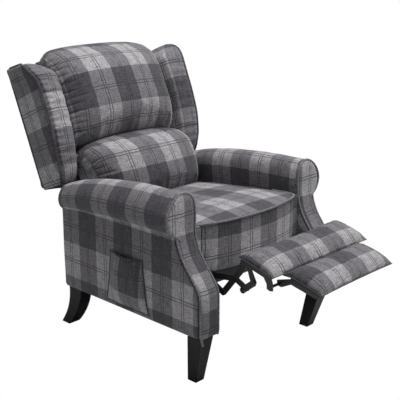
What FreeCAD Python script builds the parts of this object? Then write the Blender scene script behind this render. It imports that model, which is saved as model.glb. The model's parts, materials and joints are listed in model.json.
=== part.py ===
import FreeCAD, Part
import math
import os
import Sketcher

# Wing-back push-back recliner, millimetres, +Z up, the sitter faces -Y.
# The origin is on the floor, under the middle of the chair with its footrest out.
# Right and left are the sitter's: right is -X. It stands as photographed, footrest out
# and back leaning.

doc = FreeCAD.newDocument("wing_recliner")
size = doc.addObject("Spreadsheet::Sheet", "Size")

SIZES = (
    # Arms
    ("LegHeight", 160.5, "floor to the lower edge of the arm"),
    ("ArmInner", 245, "middle of the chair to the arm's inner face"),
    ("ArmOuter", 319, "middle of the chair to the arm's outer face"),
    ("ArmRear", 344, "rear face of the arm"),
    ("ArmToe", -281.5, "front face of the arm at its foot"),
    ("ArmNose", -184, "front face of the arm under its roll"),
    ("ArmTop", 570, "top of the roll"),
    ("RollCentre", 295, "middle of the roll, sideways"),
    ("RollReach", 354, "outermost point of the roll"),
    ("NeckHigh", 449, "seam under the roll"),
    ("RollDrop", 66, "how far the roll falls at the rear"),
    ("NeckDrop", 22, "how far the seam falls at the rear"),
    ("CurveTop", 475, "top of the front's curve"),
    ("CurveLow", 362, "lower end of the front's curve"),
    ("CurveSweep", 46, "how far the curve comes forward"),
    ("KneeTop", 309, "start of the knee above the foot"),
    ("KneeLow", 281, "end of the knee above the foot"),
    ("KneeBack", 11, "how far the knee starts behind the toe"),
    ("FacingThick", 12, "padded front facing"),
    ("CoverWall", 8, "foam and fabric over the arm frame"),
    ("FrameRail", 40, "depth of the arm frame's timbers"),
    ("FrameTop", 439, "top of the arm frame"),
    ("Clear", 0.3, "gap between a cover and what it covers"),
    # Legs
    ("FrontLegTop", 54, "front leg, square top"),
    ("FrontLegFoot", 35, "front leg, square foot"),
    ("FrontLegInset", 1.5, "front leg top from the arm's outer and front faces"),
    ("FrontFootInset", 30, "feet from the arm's outer face"),
    ("FrontFootBack", 48, "front foot behind the arm's toe"),
    ("RearLegWide", 46, "rear leg across the chair"),
    ("RearLegTop", 62, "rear leg front to back at its top"),
    ("RearLegFoot", 41, "rear leg front to back at its foot"),
    ("RearLegInset", 16, "rear leg top from the arm's rear face"),
    ("RearFootOut", 84, "how far the rear foot sweeps back"),
    ("LegBolt", 4, "radius of the leg's bolt"),
    ("BoltLong", 70, "length of the leg's bolt"),
    # Base between the arms
    ("BaseRailDeep", 22, "rear rail front to back"),
    ("BaseRailHigh", 38, "rear rail height"),
    ("BaseRailY", 262, "front face of the rear rail"),
    ("TieTube", 10, "radius of the steel tie tubes"),
    ("TieTubeY", 20, "tie tube between the arms"),
    ("TieTubeZ", 225, "height of that tube"),
    ("ChannelHigh", 30, "height of the glide channel"),
    ("ChannelDeep", 12, "depth of the glide channel"),
    ("ChannelWall", 2.5, "sheet of the glide channel"),
    ("ChannelLow", 255, "lower edge of the glide channel"),
    ("ChannelFront", -140, "front end of the glide channel"),
    ("ChannelLong", 330, "length of the glide channel"),
    # Seat
    ("SeatHalf", 239, "half the seat's width"),
    ("SeatFront", -229, "front of the seat in the middle"),
    ("SeatFrontSide", -184, "front of the seat at its sides"),
    ("SeatBase", 402, "underside of the cushion"),
    ("SeatEdge", 466, "piped front edge of the seat"),
    ("SeatCrown", 488, "top of the cushion"),
    ("SeatRear", 228, "rear end of the cushion"),
    ("BorderLow", 324, "lower edge of the boxed front"),
    ("BorderBack", -186.5, "rear face of the boxed front"),
    ("FrameHalf", 190, "half the seat frame's width"),
    ("FrameFront", -157, "front of the seat frame"),
    ("FrameRear", 196, "rear of the seat frame"),
    ("FrameLow", 335, "underside of the seat frame"),
    ("FrameHigh", 60, "depth of the seat frame's rails"),
    ("FrameThick", 25, "thickness of the seat frame's rails"),
    ("SpringWire", 4, "wire of the seat springs"),
    ("DustThick", 1.5, "dust cloth under the seat"),
    # Mechanism, every pivot as y and z on the chair's side view
    ("Steel", 3, "thickness of plates and links"),
    ("LinkHalf", 9.5, "half the width of a link"),
    ("Rivet", 4, "radius of the rivets"),
    ("RivetPlay", 0.08, "running clearance round a rivet"),
    ("SlotPlay", 3.2, "lift of the cross link's rear pin in its long hole"),
    ("ShortPlay", 4.7, "travel of the pin in the short link's long hole"),
    ("SlotSide", 1.1, "side play in both long holes"),
    ("RivetHead", 7, "radius of a rivet's head"),
    ("HeadThick", 0.7, "thickness of a rivet's head"),
    ("CrossPlane", 193, "inner face of the cross links"),
    ("LongPlane", 197, "inner face of the long links"),
    ("RockerPlane", 201, "inner face of the rockers"),
    ("BracketPlane", 205, "inner face of the footrest brackets"),
    ("TiePlane", 209, "inner face of the short links"),
    ("PlatePlane", 222, "inner face of the side plates"),
    ("RockerY", -127, "rocker pivot"), ("RockerZ", 340, "rocker pivot"),
    ("KneeY", -260, "pivot of rocker and long link"), ("KneeZ", 271, "the same"),
    ("CrossY", -174, "cross link pivot"), ("CrossZ", 384, "cross link pivot"),
    ("ScissorY", -301, "where the two links cross"), ("ScissorZ", 323, "the same"),
    ("ShortY", -342.5, "front end of the cross link"), ("ShortZ", 303, "the same"),
    ("BendZ", 306, "bend of the cross link under the boxed front"),
    ("HangY", -337, "pivot of the footrest bracket"), ("HangZ", 370, "the same"),
    ("ElbowY", -379, "short link on the bracket"), ("ElbowZ", 333, "the same"),
    ("FlipY", -437, "hinge of the second pad"), ("FlipZ", 336, "the same"),
    ("FlipPlane", 160, "inner face of the second pad's brackets"),
    ("StripDeep", 14, "depth of the footrest bracket between its three ears"),
    ("SpacerRadius", 9, "spacers between seat frame and side plate"),
    ("SlideLong", 44, "length of a nylon slide block"),
    ("CrossTubeY", -20, "tube between the side plates"), ("CrossTubeZ", 316, "the same"),
    # Footrest
    ("PadTilt", 14.7, "degrees the pads fall towards the front"),
    ("PadY", -340, "rear edge of the first pad"), ("PadZ", 405, "the same"),
    ("PadLong", 126, "pad front to back"),
    ("PadGap", 3, "between the two pads"),
    ("PadHalf", 229, "half the first pad's width"),
    ("PadTwoHalf", 175, "half the second pad's width"),
    ("PadCrown", 24, "height of the pad's crown"),
    ("BoardThick", 10, "board under a pad"),
    ("BoardInset", 12, "board inside the pad's edges"),
    # Back, measured from its pivot: rearwards square to the back, and up along it
    ("BackLean", 22.9, "degrees the back leans"),
    ("PivotY", 213, "back pivot"), ("PivotZ", 345, "back pivot"),
    ("BackHalf", 230, "half the back frame's width"),
    ("BackWood", 35, "back frame's timbers across the chair"),
    ("BackFront", 98, "front face of the back frame"),
    ("BackDeep", 40, "depth of the back frame"),
    ("BackFoot", -11, "lower end of the back frame"),
    ("BackTop", 599, "upper end of the back frame"),
    ("BackRail", 40, "height of the back frame's rails"),
    ("BackRear", 143, "rear of the wings"),
    ("WebThick", 2.5, "thickness of the webbing behind the cushions"),
    ("PillowFoot", 319, "lower edge of the head pillow"),
    ("PillowTop", 648, "top of the head pillow"),
    ("LumbarFoot", 86, "lower edge of the lumbar cushion"),
    ("LumbarTop", 314, "upper edge of the lumbar cushion"),
    ("WingFoot", 202, "lower edge of the wing"),
    ("WingTop", 610, "upper edge of the wing"),
    ("WingInner", 240, "inner face of the wing"),
    ("WingBoard", 15, "panel inside the wing"),
    ("WingBoardX", 283, "inner face of that panel"),
    ("ShellThick", 11.5, "padded outer back"),
    ("TopPadHigh", 24, "padding over the top of the back frame"),
    ("WingCloth", 60, "dark cloth closing the foot of a wing"),
    ("ShellLow", 326, "half the outer back's width at the foot of the wings"),
    ("ShellMid", 328, "half its width half-way up the wings"),
    ("ShellTop", 330, "half its width at the top"),
    ("ShellMidUp", 255, "half-way point above the foot of the wings"),
    ("ShellFoot", -21, "lower edge of the outer back"),
    ("BracketX", 230.3, "inner face of the back brackets"),
    # Pocket on the right arm
    ("PocketTop", 345, "mouth of the side pocket"),
    ("PocketLow", 176, "lower edge of the side pocket"),
    ("PocketMid", 28, "middle of the pocket, front to back"),
    ("PocketMouth", 72, "half the pocket's width at its mouth"),
    ("PocketFoot", 97, "half the pocket's width at its foot"),
    ("PocketDeep", 26, "how far the pocket stands out"),
    ("PocketWall", 3, "fabric of the pocket"),
)
for row, (alias, number, note) in enumerate(SIZES, 1):
    size.set("A%d" % row, note)
    size.set("B%d" % row, str(number))
    size.setAlias("B%d" % row, alias)
doc.recompute()

V = FreeCAD.Vector


def num(expression):
    """The value of an expression of the sheet's sizes."""
    value = size.evalExpression(str(expression))
    return float(getattr(value, "Value", value))


# General makers


def place(thing, x="0", y="0", z="0", turn=None):
    """Put a piece at x, y, z, turned about X by an angle."""
    if turn is not None:
        thing.Placement = FreeCAD.Placement(V(), FreeCAD.Rotation(V(1, 0, 0), num(turn)))
        thing.setExpression("Placement.Rotation.Angle", turn)
    for axis, expression in zip("xyz", (x, y, z)):
        thing.setExpression("Placement.Base." + axis, expression)
    return thing


def lean_y(back, up):
    return "Size.PivotY + (%s)*cos(Size.BackLean*1deg) + (%s)*sin(Size.BackLean*1deg)" % (back, up)


def lean_z(back, up):
    return "Size.PivotZ - (%s)*sin(Size.BackLean*1deg) + (%s)*cos(Size.BackLean*1deg)" % (back, up)


def place_on_back(thing, x="0", back="0", up="0"):
    """Put a piece in the leaning back's own frame."""
    return place(thing, x, lean_y(back, up), lean_z(back, up), "0 - Size.BackLean")


def pad_y(along, height):
    return "Size.PadY - (%s)*cos(Size.PadTilt*1deg) - (%s)*sin(Size.PadTilt*1deg)" % (along, height)


def pad_z(along, height):
    return "Size.PadZ - (%s)*sin(Size.PadTilt*1deg) + (%s)*cos(Size.PadTilt*1deg)" % (along, height)


def place_on_pad(thing, x="0", along="0", height="0"):
    """Put a piece in the tilted footrest's own frame, along it from its rear edge."""
    return place(thing, x, pad_y(along, height), pad_z(along, height), "Size.PadTilt")


def box(name, x, y, z):
    piece = doc.addObject("Part::Box", name)
    for side, expression in zip(("Length", "Width", "Height"), (x, y, z)):
        piece.setExpression(side, expression)
    return piece


def rod(name, radius, start, end, y, z):
    """A round bar across the chair, from x = start to x = end."""
    piece = doc.addObject("Part::Cylinder", name)
    piece.setExpression("Radius", radius)
    piece.setExpression("Height", "(%s) - (%s)" % (end, start))
    piece.Placement = FreeCAD.Placement(V(), FreeCAD.Rotation(V(0, 1, 0), 90))
    for axis, expression in zip("xyz", (start, y, z)):
        piece.setExpression("Placement.Base." + axis, expression)
    return piece


def upright_rod(name, radius, x, y, low, high):
    piece = doc.addObject("Part::Cylinder", name)
    piece.setExpression("Radius", radius)
    piece.setExpression("Height", "(%s) - (%s)" % (high, low))
    return place(piece, x, y, low)


def together(name, pieces):
    group = doc.addObject("Part::Compound", name)
    group.Links = pieces
    return group


def mirrored(name, piece):
    other = doc.addObject("Part::Mirroring", name)
    other.Source = piece
    other.Normal = V(1, 0, 0)
    return other


def pair(name, piece):
    """One node with a left piece and its right-hand twin."""
    return together(name, [piece, mirrored(name + "_twin", piece)])


def fused(name, pieces):
    whole = doc.addObject("Part::MultiFuse", name)
    whole.Shapes = pieces
    return whole


def cut(name, base, tools):
    piece = doc.addObject("Part::Cut", name)
    piece.Base = base
    piece.Tool = tools[0] if len(tools) == 1 else fused(name + "_tools", tools)
    return piece


def solid(name, shape):
    """A piece made straight from curves and lofts."""
    piece = doc.addObject("Part::Feature", name)
    piece.Shape = shape
    return piece


def plane_of(body, role):
    return next(part for part in body.Origin.OriginFeatures if part.Role == role)


def pin_point(sketch, index, point, where):
    """Hold a point of the sketch at a place given by two expressions."""
    for kind, expression in zip(("DistanceX", "DistanceY"), where):
        rule = sketch.addConstraint(Sketcher.Constraint(kind, -1, 1, index, point, num(expression)))
        sketch.setExpression("Constraints[%d]" % rule, expression)


def sketch_hole(sketch, where, radius):
    centre = V(num(where[0]), num(where[1]), 0)
    index = sketch.addGeometry(Part.Circle(centre, V(0, 0, 1), num(radius)), False)
    pin_point(sketch, index, 3, where)
    rule = sketch.addConstraint(Sketcher.Constraint("Radius", index, num(radius)))
    sketch.setExpression("Constraints[%d]" % rule, radius)


def start_body(name, role):
    body = doc.addObject("PartDesign::Body", name)
    sketch = body.newObject("Sketcher::SketchObject", name + "_sketch")
    sketch.AttachmentSupport = [(plane_of(body, role), "")]
    sketch.MapMode = "FlatFace"
    return body, sketch


def finish_body(body, sketch, thick):
    pad = body.newObject("PartDesign::Pad", body.Name + "_pad")
    pad.Profile = sketch
    pad.setExpression("Length", thick)
    return body


def plate(name, corners, holes, thick, role="YZ_Plane"):
    """A flat sheet with straight edges and round holes."""
    body, sketch = start_body(name, role)
    points = [V(num(a), num(b), 0) for a, b in corners]
    count = len(points)
    for i in range(count):
        sketch.addGeometry(Part.LineSegment(points[i], points[(i + 1) % count]), False)
    for i in range(count):
        sketch.addConstraint(Sketcher.Constraint("Coincident", i, 2, (i + 1) % count, 1))
        pin_point(sketch, i, 1, corners[i])
    for where, radius in holes:
        sketch_hole(sketch, where, radius)
    return finish_body(body, sketch, thick)


def link(name, first, second, plane):
    """A flat steel link with round ends and two rivet holes, at x = plane."""
    body, sketch = start_body(name, "YZ_Plane")
    a = V(num(first[0]), num(first[1]), 0)
    b = V(num(second[0]), num(second[1]), 0)
    half = num("Size.LinkHalf")
    turn = math.atan2(b.y - a.y, b.x - a.x)
    up = Part.Circle(V(), V(0, 0, 1), half)
    side = V(-math.sin(turn), math.cos(turn), 0) * half

    def arc(centre, start, end):
        up.Center = centre
        return Part.ArcOfCircle(up, start, end)

    sketch.addGeometry(arc(a, turn + math.pi / 2, turn + 1.5 * math.pi), False)
    sketch.addGeometry(Part.LineSegment(a - side, b - side), False)
    sketch.addGeometry(arc(b, turn - math.pi / 2, turn + math.pi / 2), False)
    sketch.addGeometry(Part.LineSegment(b + side, a + side), False)
    for i in range(4):
        sketch.addConstraint(Sketcher.Constraint("Tangent", i, 2, (i + 1) % 4, 1))
    sketch.addConstraint(Sketcher.Constraint("Equal", 0, 2))
    rule = sketch.addConstraint(Sketcher.Constraint("Radius", 0, half))
    sketch.setExpression("Constraints[%d]" % rule, "Size.LinkHalf")
    pin_point(sketch, 0, 3, first)
    pin_point(sketch, 2, 3, second)
    for where in (first, second):
        sketch_hole(sketch, where, HOLE)
    return place(finish_body(body, sketch, "Size.Steel"), plane)


def rivet(name, where, start, end):
    """A shank with a head over each outer face of the steel that it joins."""
    y, z = where
    shank = rod(name + "_shank", "Size.Rivet", start + " - Size.HeadThick", end + " + Size.HeadThick", y, z)
    inner = rod(name + "_inner_head", "Size.RivetHead", start + " - Size.HeadThick",
                start + " - Size.RivetPlay", y, z)
    outer = rod(name + "_outer_head", "Size.RivetHead", end + " + Size.RivetPlay",
                end + " + Size.HeadThick", y, z)
    return fused(name, [shank, inner, outer])


HOLE = "Size.Rivet + Size.RivetPlay"


def loft(wires):
    return Part.makeLoft(wires, True, False)


def line(a, b):
    return Part.LineSegment(a, b).toShape()


def curve(a, through, b):
    return Part.Arc(a, through, b).toShape()


# Arms: a timber ladder frame under a padded cover with a scrolled roll, and a piped facing.

ARM_SECTIONS = 7


def roll_fall(y):
    """How far along its fall the roll is at y: 0 at the nose, 1 at the rear."""
    start = num("Size.ArmNose")
    along = max(0.0, (y - start) / (num("Size.ArmRear") - start))
    return along ** 2.9


def arm_section(y):
    """The outline of the arm at y, on the chair's left, seen from the front."""
    top = num("Size.ArmTop") - num("Size.RollDrop") * roll_fall(y)
    neck = num("Size.NeckHigh") - num("Size.NeckDrop") * roll_fall(y)
    foot, inner, outer = num("Size.LegHeight"), num("Size.ArmInner"), num("Size.ArmOuter")
    centre, reach = num("Size.RollCentre"), num("Size.RollReach")
    middle = (top + neck) / 2
    wide, high = reach - centre, (top - neck) / 2

    def on_roll(angle):
        turn = math.radians(angle)
        return V(centre + wide * math.cos(turn), y, middle + high * math.sin(turn))

    throat = V(outer, y, neck)
    crest = on_roll(90)
    brow = V(inner, y, middle + 0.25 * high)
    brow_mid = V(inner + 0.17 * (centre - inner), y, middle + 0.76 * high)
    corner_in, corner_out = V(inner, y, foot), V(outer, y, foot)
    return Part.Wire([
        line(corner_in, corner_out),
        line(corner_out, throat),
        curve(throat, on_roll(-38), on_roll(0)),
        curve(on_roll(0), on_roll(45), crest),
        curve(crest, brow_mid, brow),
        line(brow, corner_in)])


def front_curve(shift):
    """The arm's S-shaped front from above the roll to its foot, moved back by shift."""
    nose, toe = num("Size.ArmNose") + shift, num("Size.ArmToe") + shift
    high, low = num("Size.ArmTop") + 30, num("Size.LegHeight") - 10
    top, bottom = num("Size.CurveTop"), num("Size.CurveLow")
    sweep, back = num("Size.CurveSweep"), num("Size.KneeBack")
    knee, shin = num("Size.KneeTop"), num("Size.KneeLow")
    curve_mid = V(0, nose - 0.37 * sweep, top - 0.59 * (top - bottom))
    knee_mid = V(0, toe + 0.27 * back, shin + 0.54 * (knee - shin))
    start, end = V(0, nose - sweep, bottom), V(0, toe + back, knee)
    return [
        line(V(0, nose, high), V(0, nose, top)),
        curve(V(0, nose, top), curve_mid, start),
        line(start, end),
        curve(end, knee_mid, V(0, toe, shin)),
        line(V(0, toe, shin), V(0, toe, low))]


def slab_behind(shift, rear):
    """A block behind the arm's front curve, as wide as the arm, ending at y = rear."""
    edges = front_curve(shift)
    top, low = edges[0].Vertexes[0].Point, edges[-1].Vertexes[-1].Point
    back_top, back_low = V(0, rear, top.z), V(0, rear, low.z)
    face = Part.Face(Part.Wire(edges + [line(low, back_low), line(back_low, back_top), line(back_top, top)]))
    return face.extrude(V(num("Size.RollReach") + 30, 0, 0))


def arm_block():
    toe, nose, rear = num("Size.ArmToe") - 1, num("Size.ArmNose"), num("Size.ArmRear")
    spots = [toe] + [nose + (rear - nose) * i / ARM_SECTIONS for i in range(ARM_SECTIONS + 1)]
    return loft([arm_section(y) for y in spots])


def arm_cavity():
    """The room for the arm's timber frame: a tall box and a lower one in the toe."""
    wall, clear = num("Size.CoverWall"), num("Size.Clear")
    left = num("Size.ArmInner") + wall
    wide = num("Size.ArmOuter") - wall - left
    low = num("Size.LegHeight") - 1
    post = num(FRAME_POST_Y) - clear
    rear = num(FRAME_REAR) + clear
    toe = num(FRAME_TOE) - clear
    tall = Part.makeBox(wide, rear - post, num("Size.FrameTop") + clear - low, V(left, post, low))
    short_high = num("Size.LegHeight") + num("Size.FrameRail") + clear - low
    return tall.fuse(Part.makeBox(wide, post - toe + 1, short_high, V(left, toe, low)))


FRAME_X = "Size.ArmInner + Size.CoverWall + Size.Clear"
FRAME_WIDE = "Size.ArmOuter - Size.ArmInner - 2*Size.CoverWall - 2*Size.Clear"
FRAME_TOE = "Size.ArmToe + Size.FacingThick + 2"
FRAME_POST_Y = "Size.ArmNose + Size.FacingThick + Size.CoverWall"
FRAME_REAR = "Size.ArmRear - Size.CoverWall"

block = arm_block()
facing_shape = block.common(slab_behind(0, num("Size.ArmRear") + 10)).cut(
    slab_behind(num("Size.FacingThick"), num("Size.ArmRear") + 20))
cover_shape = block.common(slab_behind(num("Size.FacingThick") + 0.1, num("Size.ArmRear") + 10)).cut(
    arm_cavity())
left_arm_facing = solid("left_arm_facing", facing_shape)
left_arm_cover = solid("left_arm_cover", cover_shape)
mirrored("right_arm_facing", left_arm_facing)
mirrored("right_arm_cover", left_arm_cover)

# Leg places, shared by the legs, their bolts and the holes for them

FRONT_LEG_X = "Size.ArmOuter - Size.FrontLegInset - Size.FrontLegTop/2"
FRONT_LEG_Y = "Size.ArmToe + Size.FrontLegInset + Size.FrontLegTop/2"
REAR_LEG_X = "Size.ArmOuter - Size.FrontLegInset - Size.FrontLegTop/2"
REAR_LEG_Y = "Size.ArmRear - Size.RearLegInset - Size.RearLegTop/2"
BOLT_LOW = "Size.LegHeight - Size.BoltLong/2"
BOLT_HIGH = "Size.LegHeight + Size.BoltLong/2"
BOLT_HOLE = "Size.LegBolt + 0.1"


def leg_holes(name):
    return [upright_rod(name + "_front_hole", BOLT_HOLE, FRONT_LEG_X, FRONT_LEG_Y, BOLT_LOW + " - 1",
                        BOLT_HIGH + " + 1"),
            upright_rod(name + "_rear_hole", BOLT_HOLE, REAR_LEG_X, REAR_LEG_Y, BOLT_LOW + " - 1",
                        BOLT_HIGH + " + 1")]


rail = place(box("arm_bottom_rail", FRAME_WIDE, "(%s) - (%s)" % (FRAME_REAR, FRAME_TOE), "Size.FrameRail"),
             FRAME_X, FRAME_TOE, "Size.LegHeight")
post_high = "Size.FrameTop - Size.LegHeight - 2*Size.FrameRail"
POSTS = 4
post_step = "((%s) - (%s) - Size.FrameRail)/%d" % (FRAME_REAR, FRAME_POST_Y, POSTS - 1)
posts = [place(box("arm_post_%d" % i, FRAME_WIDE, "Size.FrameRail", post_high),
               FRAME_X, "(%s) + %d*%s" % (FRAME_POST_Y, i, post_step), "Size.LegHeight + Size.FrameRail")
         for i in range(POSTS)]
top_rail = place(box("arm_top_rail", FRAME_WIDE, "(%s) - (%s)" % (FRAME_REAR, FRAME_POST_Y), "Size.FrameRail"),
                 FRAME_X, FRAME_POST_Y, "Size.FrameTop - Size.FrameRail")
drilled_rail = cut("arm_drilled_rail", rail, leg_holes("arm_rail"))
left_arm_frame = together("left_arm_frame", [drilled_rail, top_rail] + posts)
mirrored("right_arm_frame", left_arm_frame)

# Legs: tapered square front legs and rear legs that sweep back, each on one bolt.


def ring_at(z, x_mid, y_front, wide, deep):
    corners = [V(x_mid - wide / 2, y_front, z), V(x_mid + wide / 2, y_front, z),
               V(x_mid + wide / 2, y_front + deep, z), V(x_mid - wide / 2, y_front + deep, z)]
    return Part.makePolygon(corners + corners[:1])


def front_leg_shape():
    top, foot = num("Size.FrontLegTop"), num("Size.FrontLegFoot")
    foot_x = num("Size.ArmOuter - Size.FrontFootInset") - foot / 2
    foot_y = num("Size.ArmToe + Size.FrontFootBack")
    upper = ring_at(num("Size.LegHeight"), num(FRONT_LEG_X), num(FRONT_LEG_Y) - top / 2, top, top)
    return Part.makeLoft([ring_at(0, foot_x, foot_y, foot, foot), upper], True, True)


def rear_leg_shape():
    high, sweep = num("Size.LegHeight"), num("Size.RearFootOut")
    wide, top, foot = num("Size.RearLegWide"), num("Size.RearLegTop"), num("Size.RearLegFoot")
    x_mid, y_top = num(REAR_LEG_X), num(REAR_LEG_Y) - top / 2
    foot_x = num("Size.ArmOuter - Size.FrontFootInset") - wide / 2
    rings = []
    for i in range(7):
        down = i / 6
        back = sweep * (0.25 * down + 0.75 * down ** 2) + (top - foot) * down
        deep = top + (foot - top) * down
        rings.append(ring_at(high * (1 - down), x_mid + (foot_x - x_mid) * down, y_top + back, wide, deep))
    return Part.makeLoft(rings, True, True)


def drilled_leg(name, shape, x, y):
    leg = solid(name + "_blank", shape)
    hole = upright_rod(name + "_hole", BOLT_HOLE, x, y, BOLT_LOW + " - 1", BOLT_HIGH + " + 1")
    return cut(name, leg, [hole])


front_left_leg = drilled_leg("front_left_leg", front_leg_shape(), FRONT_LEG_X, FRONT_LEG_Y)
rear_left_leg = drilled_leg("rear_left_leg", rear_leg_shape(), REAR_LEG_X, REAR_LEG_Y)
mirrored("front_right_leg", front_left_leg)
mirrored("rear_right_leg", rear_left_leg)
front_bolt = upright_rod("front_leg_bolt", "Size.LegBolt", FRONT_LEG_X, FRONT_LEG_Y, BOLT_LOW, BOLT_HIGH)
rear_bolt = upright_rod("rear_leg_bolt", "Size.LegBolt", REAR_LEG_X, REAR_LEG_Y, BOLT_LOW, BOLT_HIGH)
pair("leg_bolts", together("leg_bolts_left", [front_bolt, rear_bolt]))

# Base between the arms: a timber rail, a steel tie tube and the channels that the seat glides in.

GAP_WIDE = "2*Size.ArmInner - 2*Size.Clear"
place(box("rear_base_rail", GAP_WIDE, "Size.BaseRailDeep", "Size.BaseRailHigh"),
      "Size.Clear - Size.ArmInner", "Size.BaseRailY", "Size.LegHeight + 4")
rod("base_tie_tube", "Size.TieTube", "Size.Clear - Size.ArmInner", "Size.ArmInner - Size.Clear",
    "Size.TieTubeY", "Size.TieTubeZ")
channel = place(box("channel_blank", "Size.ChannelDeep", "Size.ChannelLong", "Size.ChannelHigh"),
                "Size.ArmInner - Size.Clear - Size.ChannelDeep", "Size.ChannelFront", "Size.ChannelLow")
channel_room = place(box("channel_room", "Size.ChannelDeep", "Size.ChannelLong + 2",
                         "Size.ChannelHigh - 2*Size.ChannelWall"),
                     "Size.ArmInner - Size.Clear - Size.ChannelDeep - Size.ChannelWall",
                     "Size.ChannelFront - 1", "Size.ChannelLow + Size.ChannelWall")
pair("glide_channels", cut("glide_channel", channel, [channel_room]))

# Side pocket: a pouch sewn to the right arm, open at its mouth.


def pocket_ring(z, half, deep, clear):
    x = -num("Size.ArmOuter") - clear
    middle = num("Size.PocketMid")
    front, rear = V(x, middle - half, z), V(x, middle + half, z)
    return Part.Wire([line(rear, front), curve(front, V(x - deep, middle, z), rear)])


def pocket_shape(inset, low, high, clear):
    top, foot = num("Size.PocketTop"), num("Size.PocketLow")
    mouth, base = num("Size.PocketMouth") - inset, num("Size.PocketFoot") - inset
    deep = num("Size.PocketDeep") - inset
    rings = []
    for share, bulge in ((0.0, 0.35), (0.18, 0.85), (0.45, 1.0), (0.75, 0.82), (1.0, 0.66)):
        z = low + (high - low) * share
        half = base + (mouth - base) * (z - foot) / (top - foot)
        rings.append(pocket_ring(z, half, max(deep * bulge, 4), clear))
    return loft(rings)


wall, clear = num("Size.PocketWall"), num("Size.Clear")
pocket_outer = pocket_shape(0, num("Size.PocketLow"), num("Size.PocketTop"), clear)
pocket_inner = pocket_shape(wall, num("Size.PocketLow") + 2 * wall, num("Size.PocketTop") + 1, clear / 2)
solid("side_pocket", pocket_outer.cut(pocket_inner))

# Seat: a timber frame with zigzag springs, a crowned cushion and a boxed front.

side_rail = place(box("seat_side_rail", "Size.FrameThick", "Size.FrameRear - Size.FrameFront", "Size.FrameHigh"),
                  "Size.FrameHalf - Size.FrameThick", "Size.FrameFront", "Size.FrameLow")
cross_wide = "2*(Size.FrameHalf - Size.FrameThick)"
cross_x = "Size.FrameThick - Size.FrameHalf"
front_rail = place(box("seat_front_rail", cross_wide, "Size.FrameThick", "Size.FrameHigh"),
                   cross_x, "Size.FrameFront", "Size.FrameLow")
rear_rail = place(box("seat_rear_rail", cross_wide, "Size.FrameThick", "Size.FrameHigh"),
                  cross_x, "Size.FrameRear - Size.FrameThick", "Size.FrameLow")
SPACER_SPOTS = (("-60", "372"), ("60", "372"), ("150", "366"))
bolt_holes = [rod("seat_rail_hole_%d" % i, HOLE, "Size.FrameHalf - Size.FrameThick - 1",
                  "Size.FrameHalf + 1", y, z) for i, (y, z) in enumerate(SPACER_SPOTS)]
drilled_side = cut("seat_drilled_rail", side_rail, bolt_holes)
together("seat_frame", [drilled_side, mirrored("seat_drilled_rail_right", drilled_side), front_rail, rear_rail])

spacers = []
spacer_bolts = []
for i, (y, z) in enumerate(SPACER_SPOTS):
    tube = rod("spacer_tube_%d" % i, "Size.SpacerRadius", "Size.FrameHalf", "Size.PlatePlane", y, z)
    bore = rod("spacer_bore_%d" % i, HOLE, "Size.FrameHalf - 1", "Size.PlatePlane + 1", y, z)
    spacers.append(cut("spacer_%d" % i, tube, [bore]))
    spacer_bolts.append(rod("spacer_bolt_%d" % i, "Size.Rivet", "Size.FrameHalf - Size.FrameThick - 3",
                            "Size.PlatePlane + Size.Steel + 3", y, z))
pair("frame_spacers", together("frame_spacers_left", spacers))
pair("frame_bolts", together("frame_bolts_left", spacer_bolts))

SPRINGS = 4
SPRING_LOOPS = 9


def zigzag_spring(x_mid):
    """One flat zigzag spring from the front rail to the rear rail, resting on both."""
    wire = num("Size.SpringWire")
    front, rear = num("Size.FrameFront") + 6, num("Size.FrameRear") - 6
    z = num("Size.FrameLow") + num("Size.FrameHigh")
    step = (rear - front - wire) / SPRING_LOOPS
    half = 22
    whole = Part.makeBox(2 * half, wire, wire, V(x_mid - half, front, z))
    for i in range(SPRING_LOOPS):
        y = front + step * i
        side = half - wire if i % 2 else -half
        whole = whole.fuse(Part.makeBox(wire, step + wire, wire, V(x_mid + side, y, z)))
        whole = whole.fuse(Part.makeBox(2 * half, wire, wire, V(x_mid - half, y + step, z)))
    return whole.removeSplitter()


spring_spread = 2 * num("Size.FrameHalf") / (SPRINGS + 0.4)
spring_spots = [spring_spread * (i - (SPRINGS - 1) / 2) for i in range(SPRINGS)]
solid("seat_springs", Part.makeCompound([zigzag_spring(x) for x in spring_spots]))
place(box("seat_dust_cloth", "2*Size.FrameHalf", "Size.FrameRear - Size.FrameFront", "Size.DustThick"),
      "0 - Size.FrameHalf", "Size.FrameFront", "Size.FrameLow - Size.DustThick")


def seat_front(x):
    """The bowed front of the seat at x."""
    half, middle, side = num("Size.SeatHalf"), num("Size.SeatFront"), num("Size.SeatFrontSide")
    bow = side - middle
    radius = (half ** 2 + bow ** 2) / (2 * bow)
    return middle + radius - math.sqrt(radius ** 2 - x ** 2)


def seat_section(share):
    """The cushion's outline at a share of its half width, seen from the side."""
    half = num("Size.SeatHalf")
    x = share * half
    base, edge, crown, rear = (num("Size." + word) for word in ("SeatBase", "SeatEdge", "SeatCrown", "SeatRear"))
    fall = abs(share) ** 4
    low = base + num("Size.Clear")
    front_top = edge - 10 * fall
    top = crown - 18 * fall
    front = seat_front(x) + 4 * fall
    tail = base + 13
    shoulder = V(x, rear - 82, base + 44 - 12 * fall)
    bottom_front, bottom_rear = V(x, front, low), V(x, rear, low)
    nose, end = V(x, front, front_top), V(x, rear, tail)
    middle = V(x, (front + rear) / 2 - 90, top)
    return Part.Wire([line(bottom_rear, bottom_front), line(bottom_front, nose),
                      curve(nose, middle, shoulder), line(shoulder, end), line(end, bottom_rear)])


solid("seat_cushion", loft([seat_section(share) for share in (-1, -0.9, -0.55, 0, 0.55, 0.9, 1)]))


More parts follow.
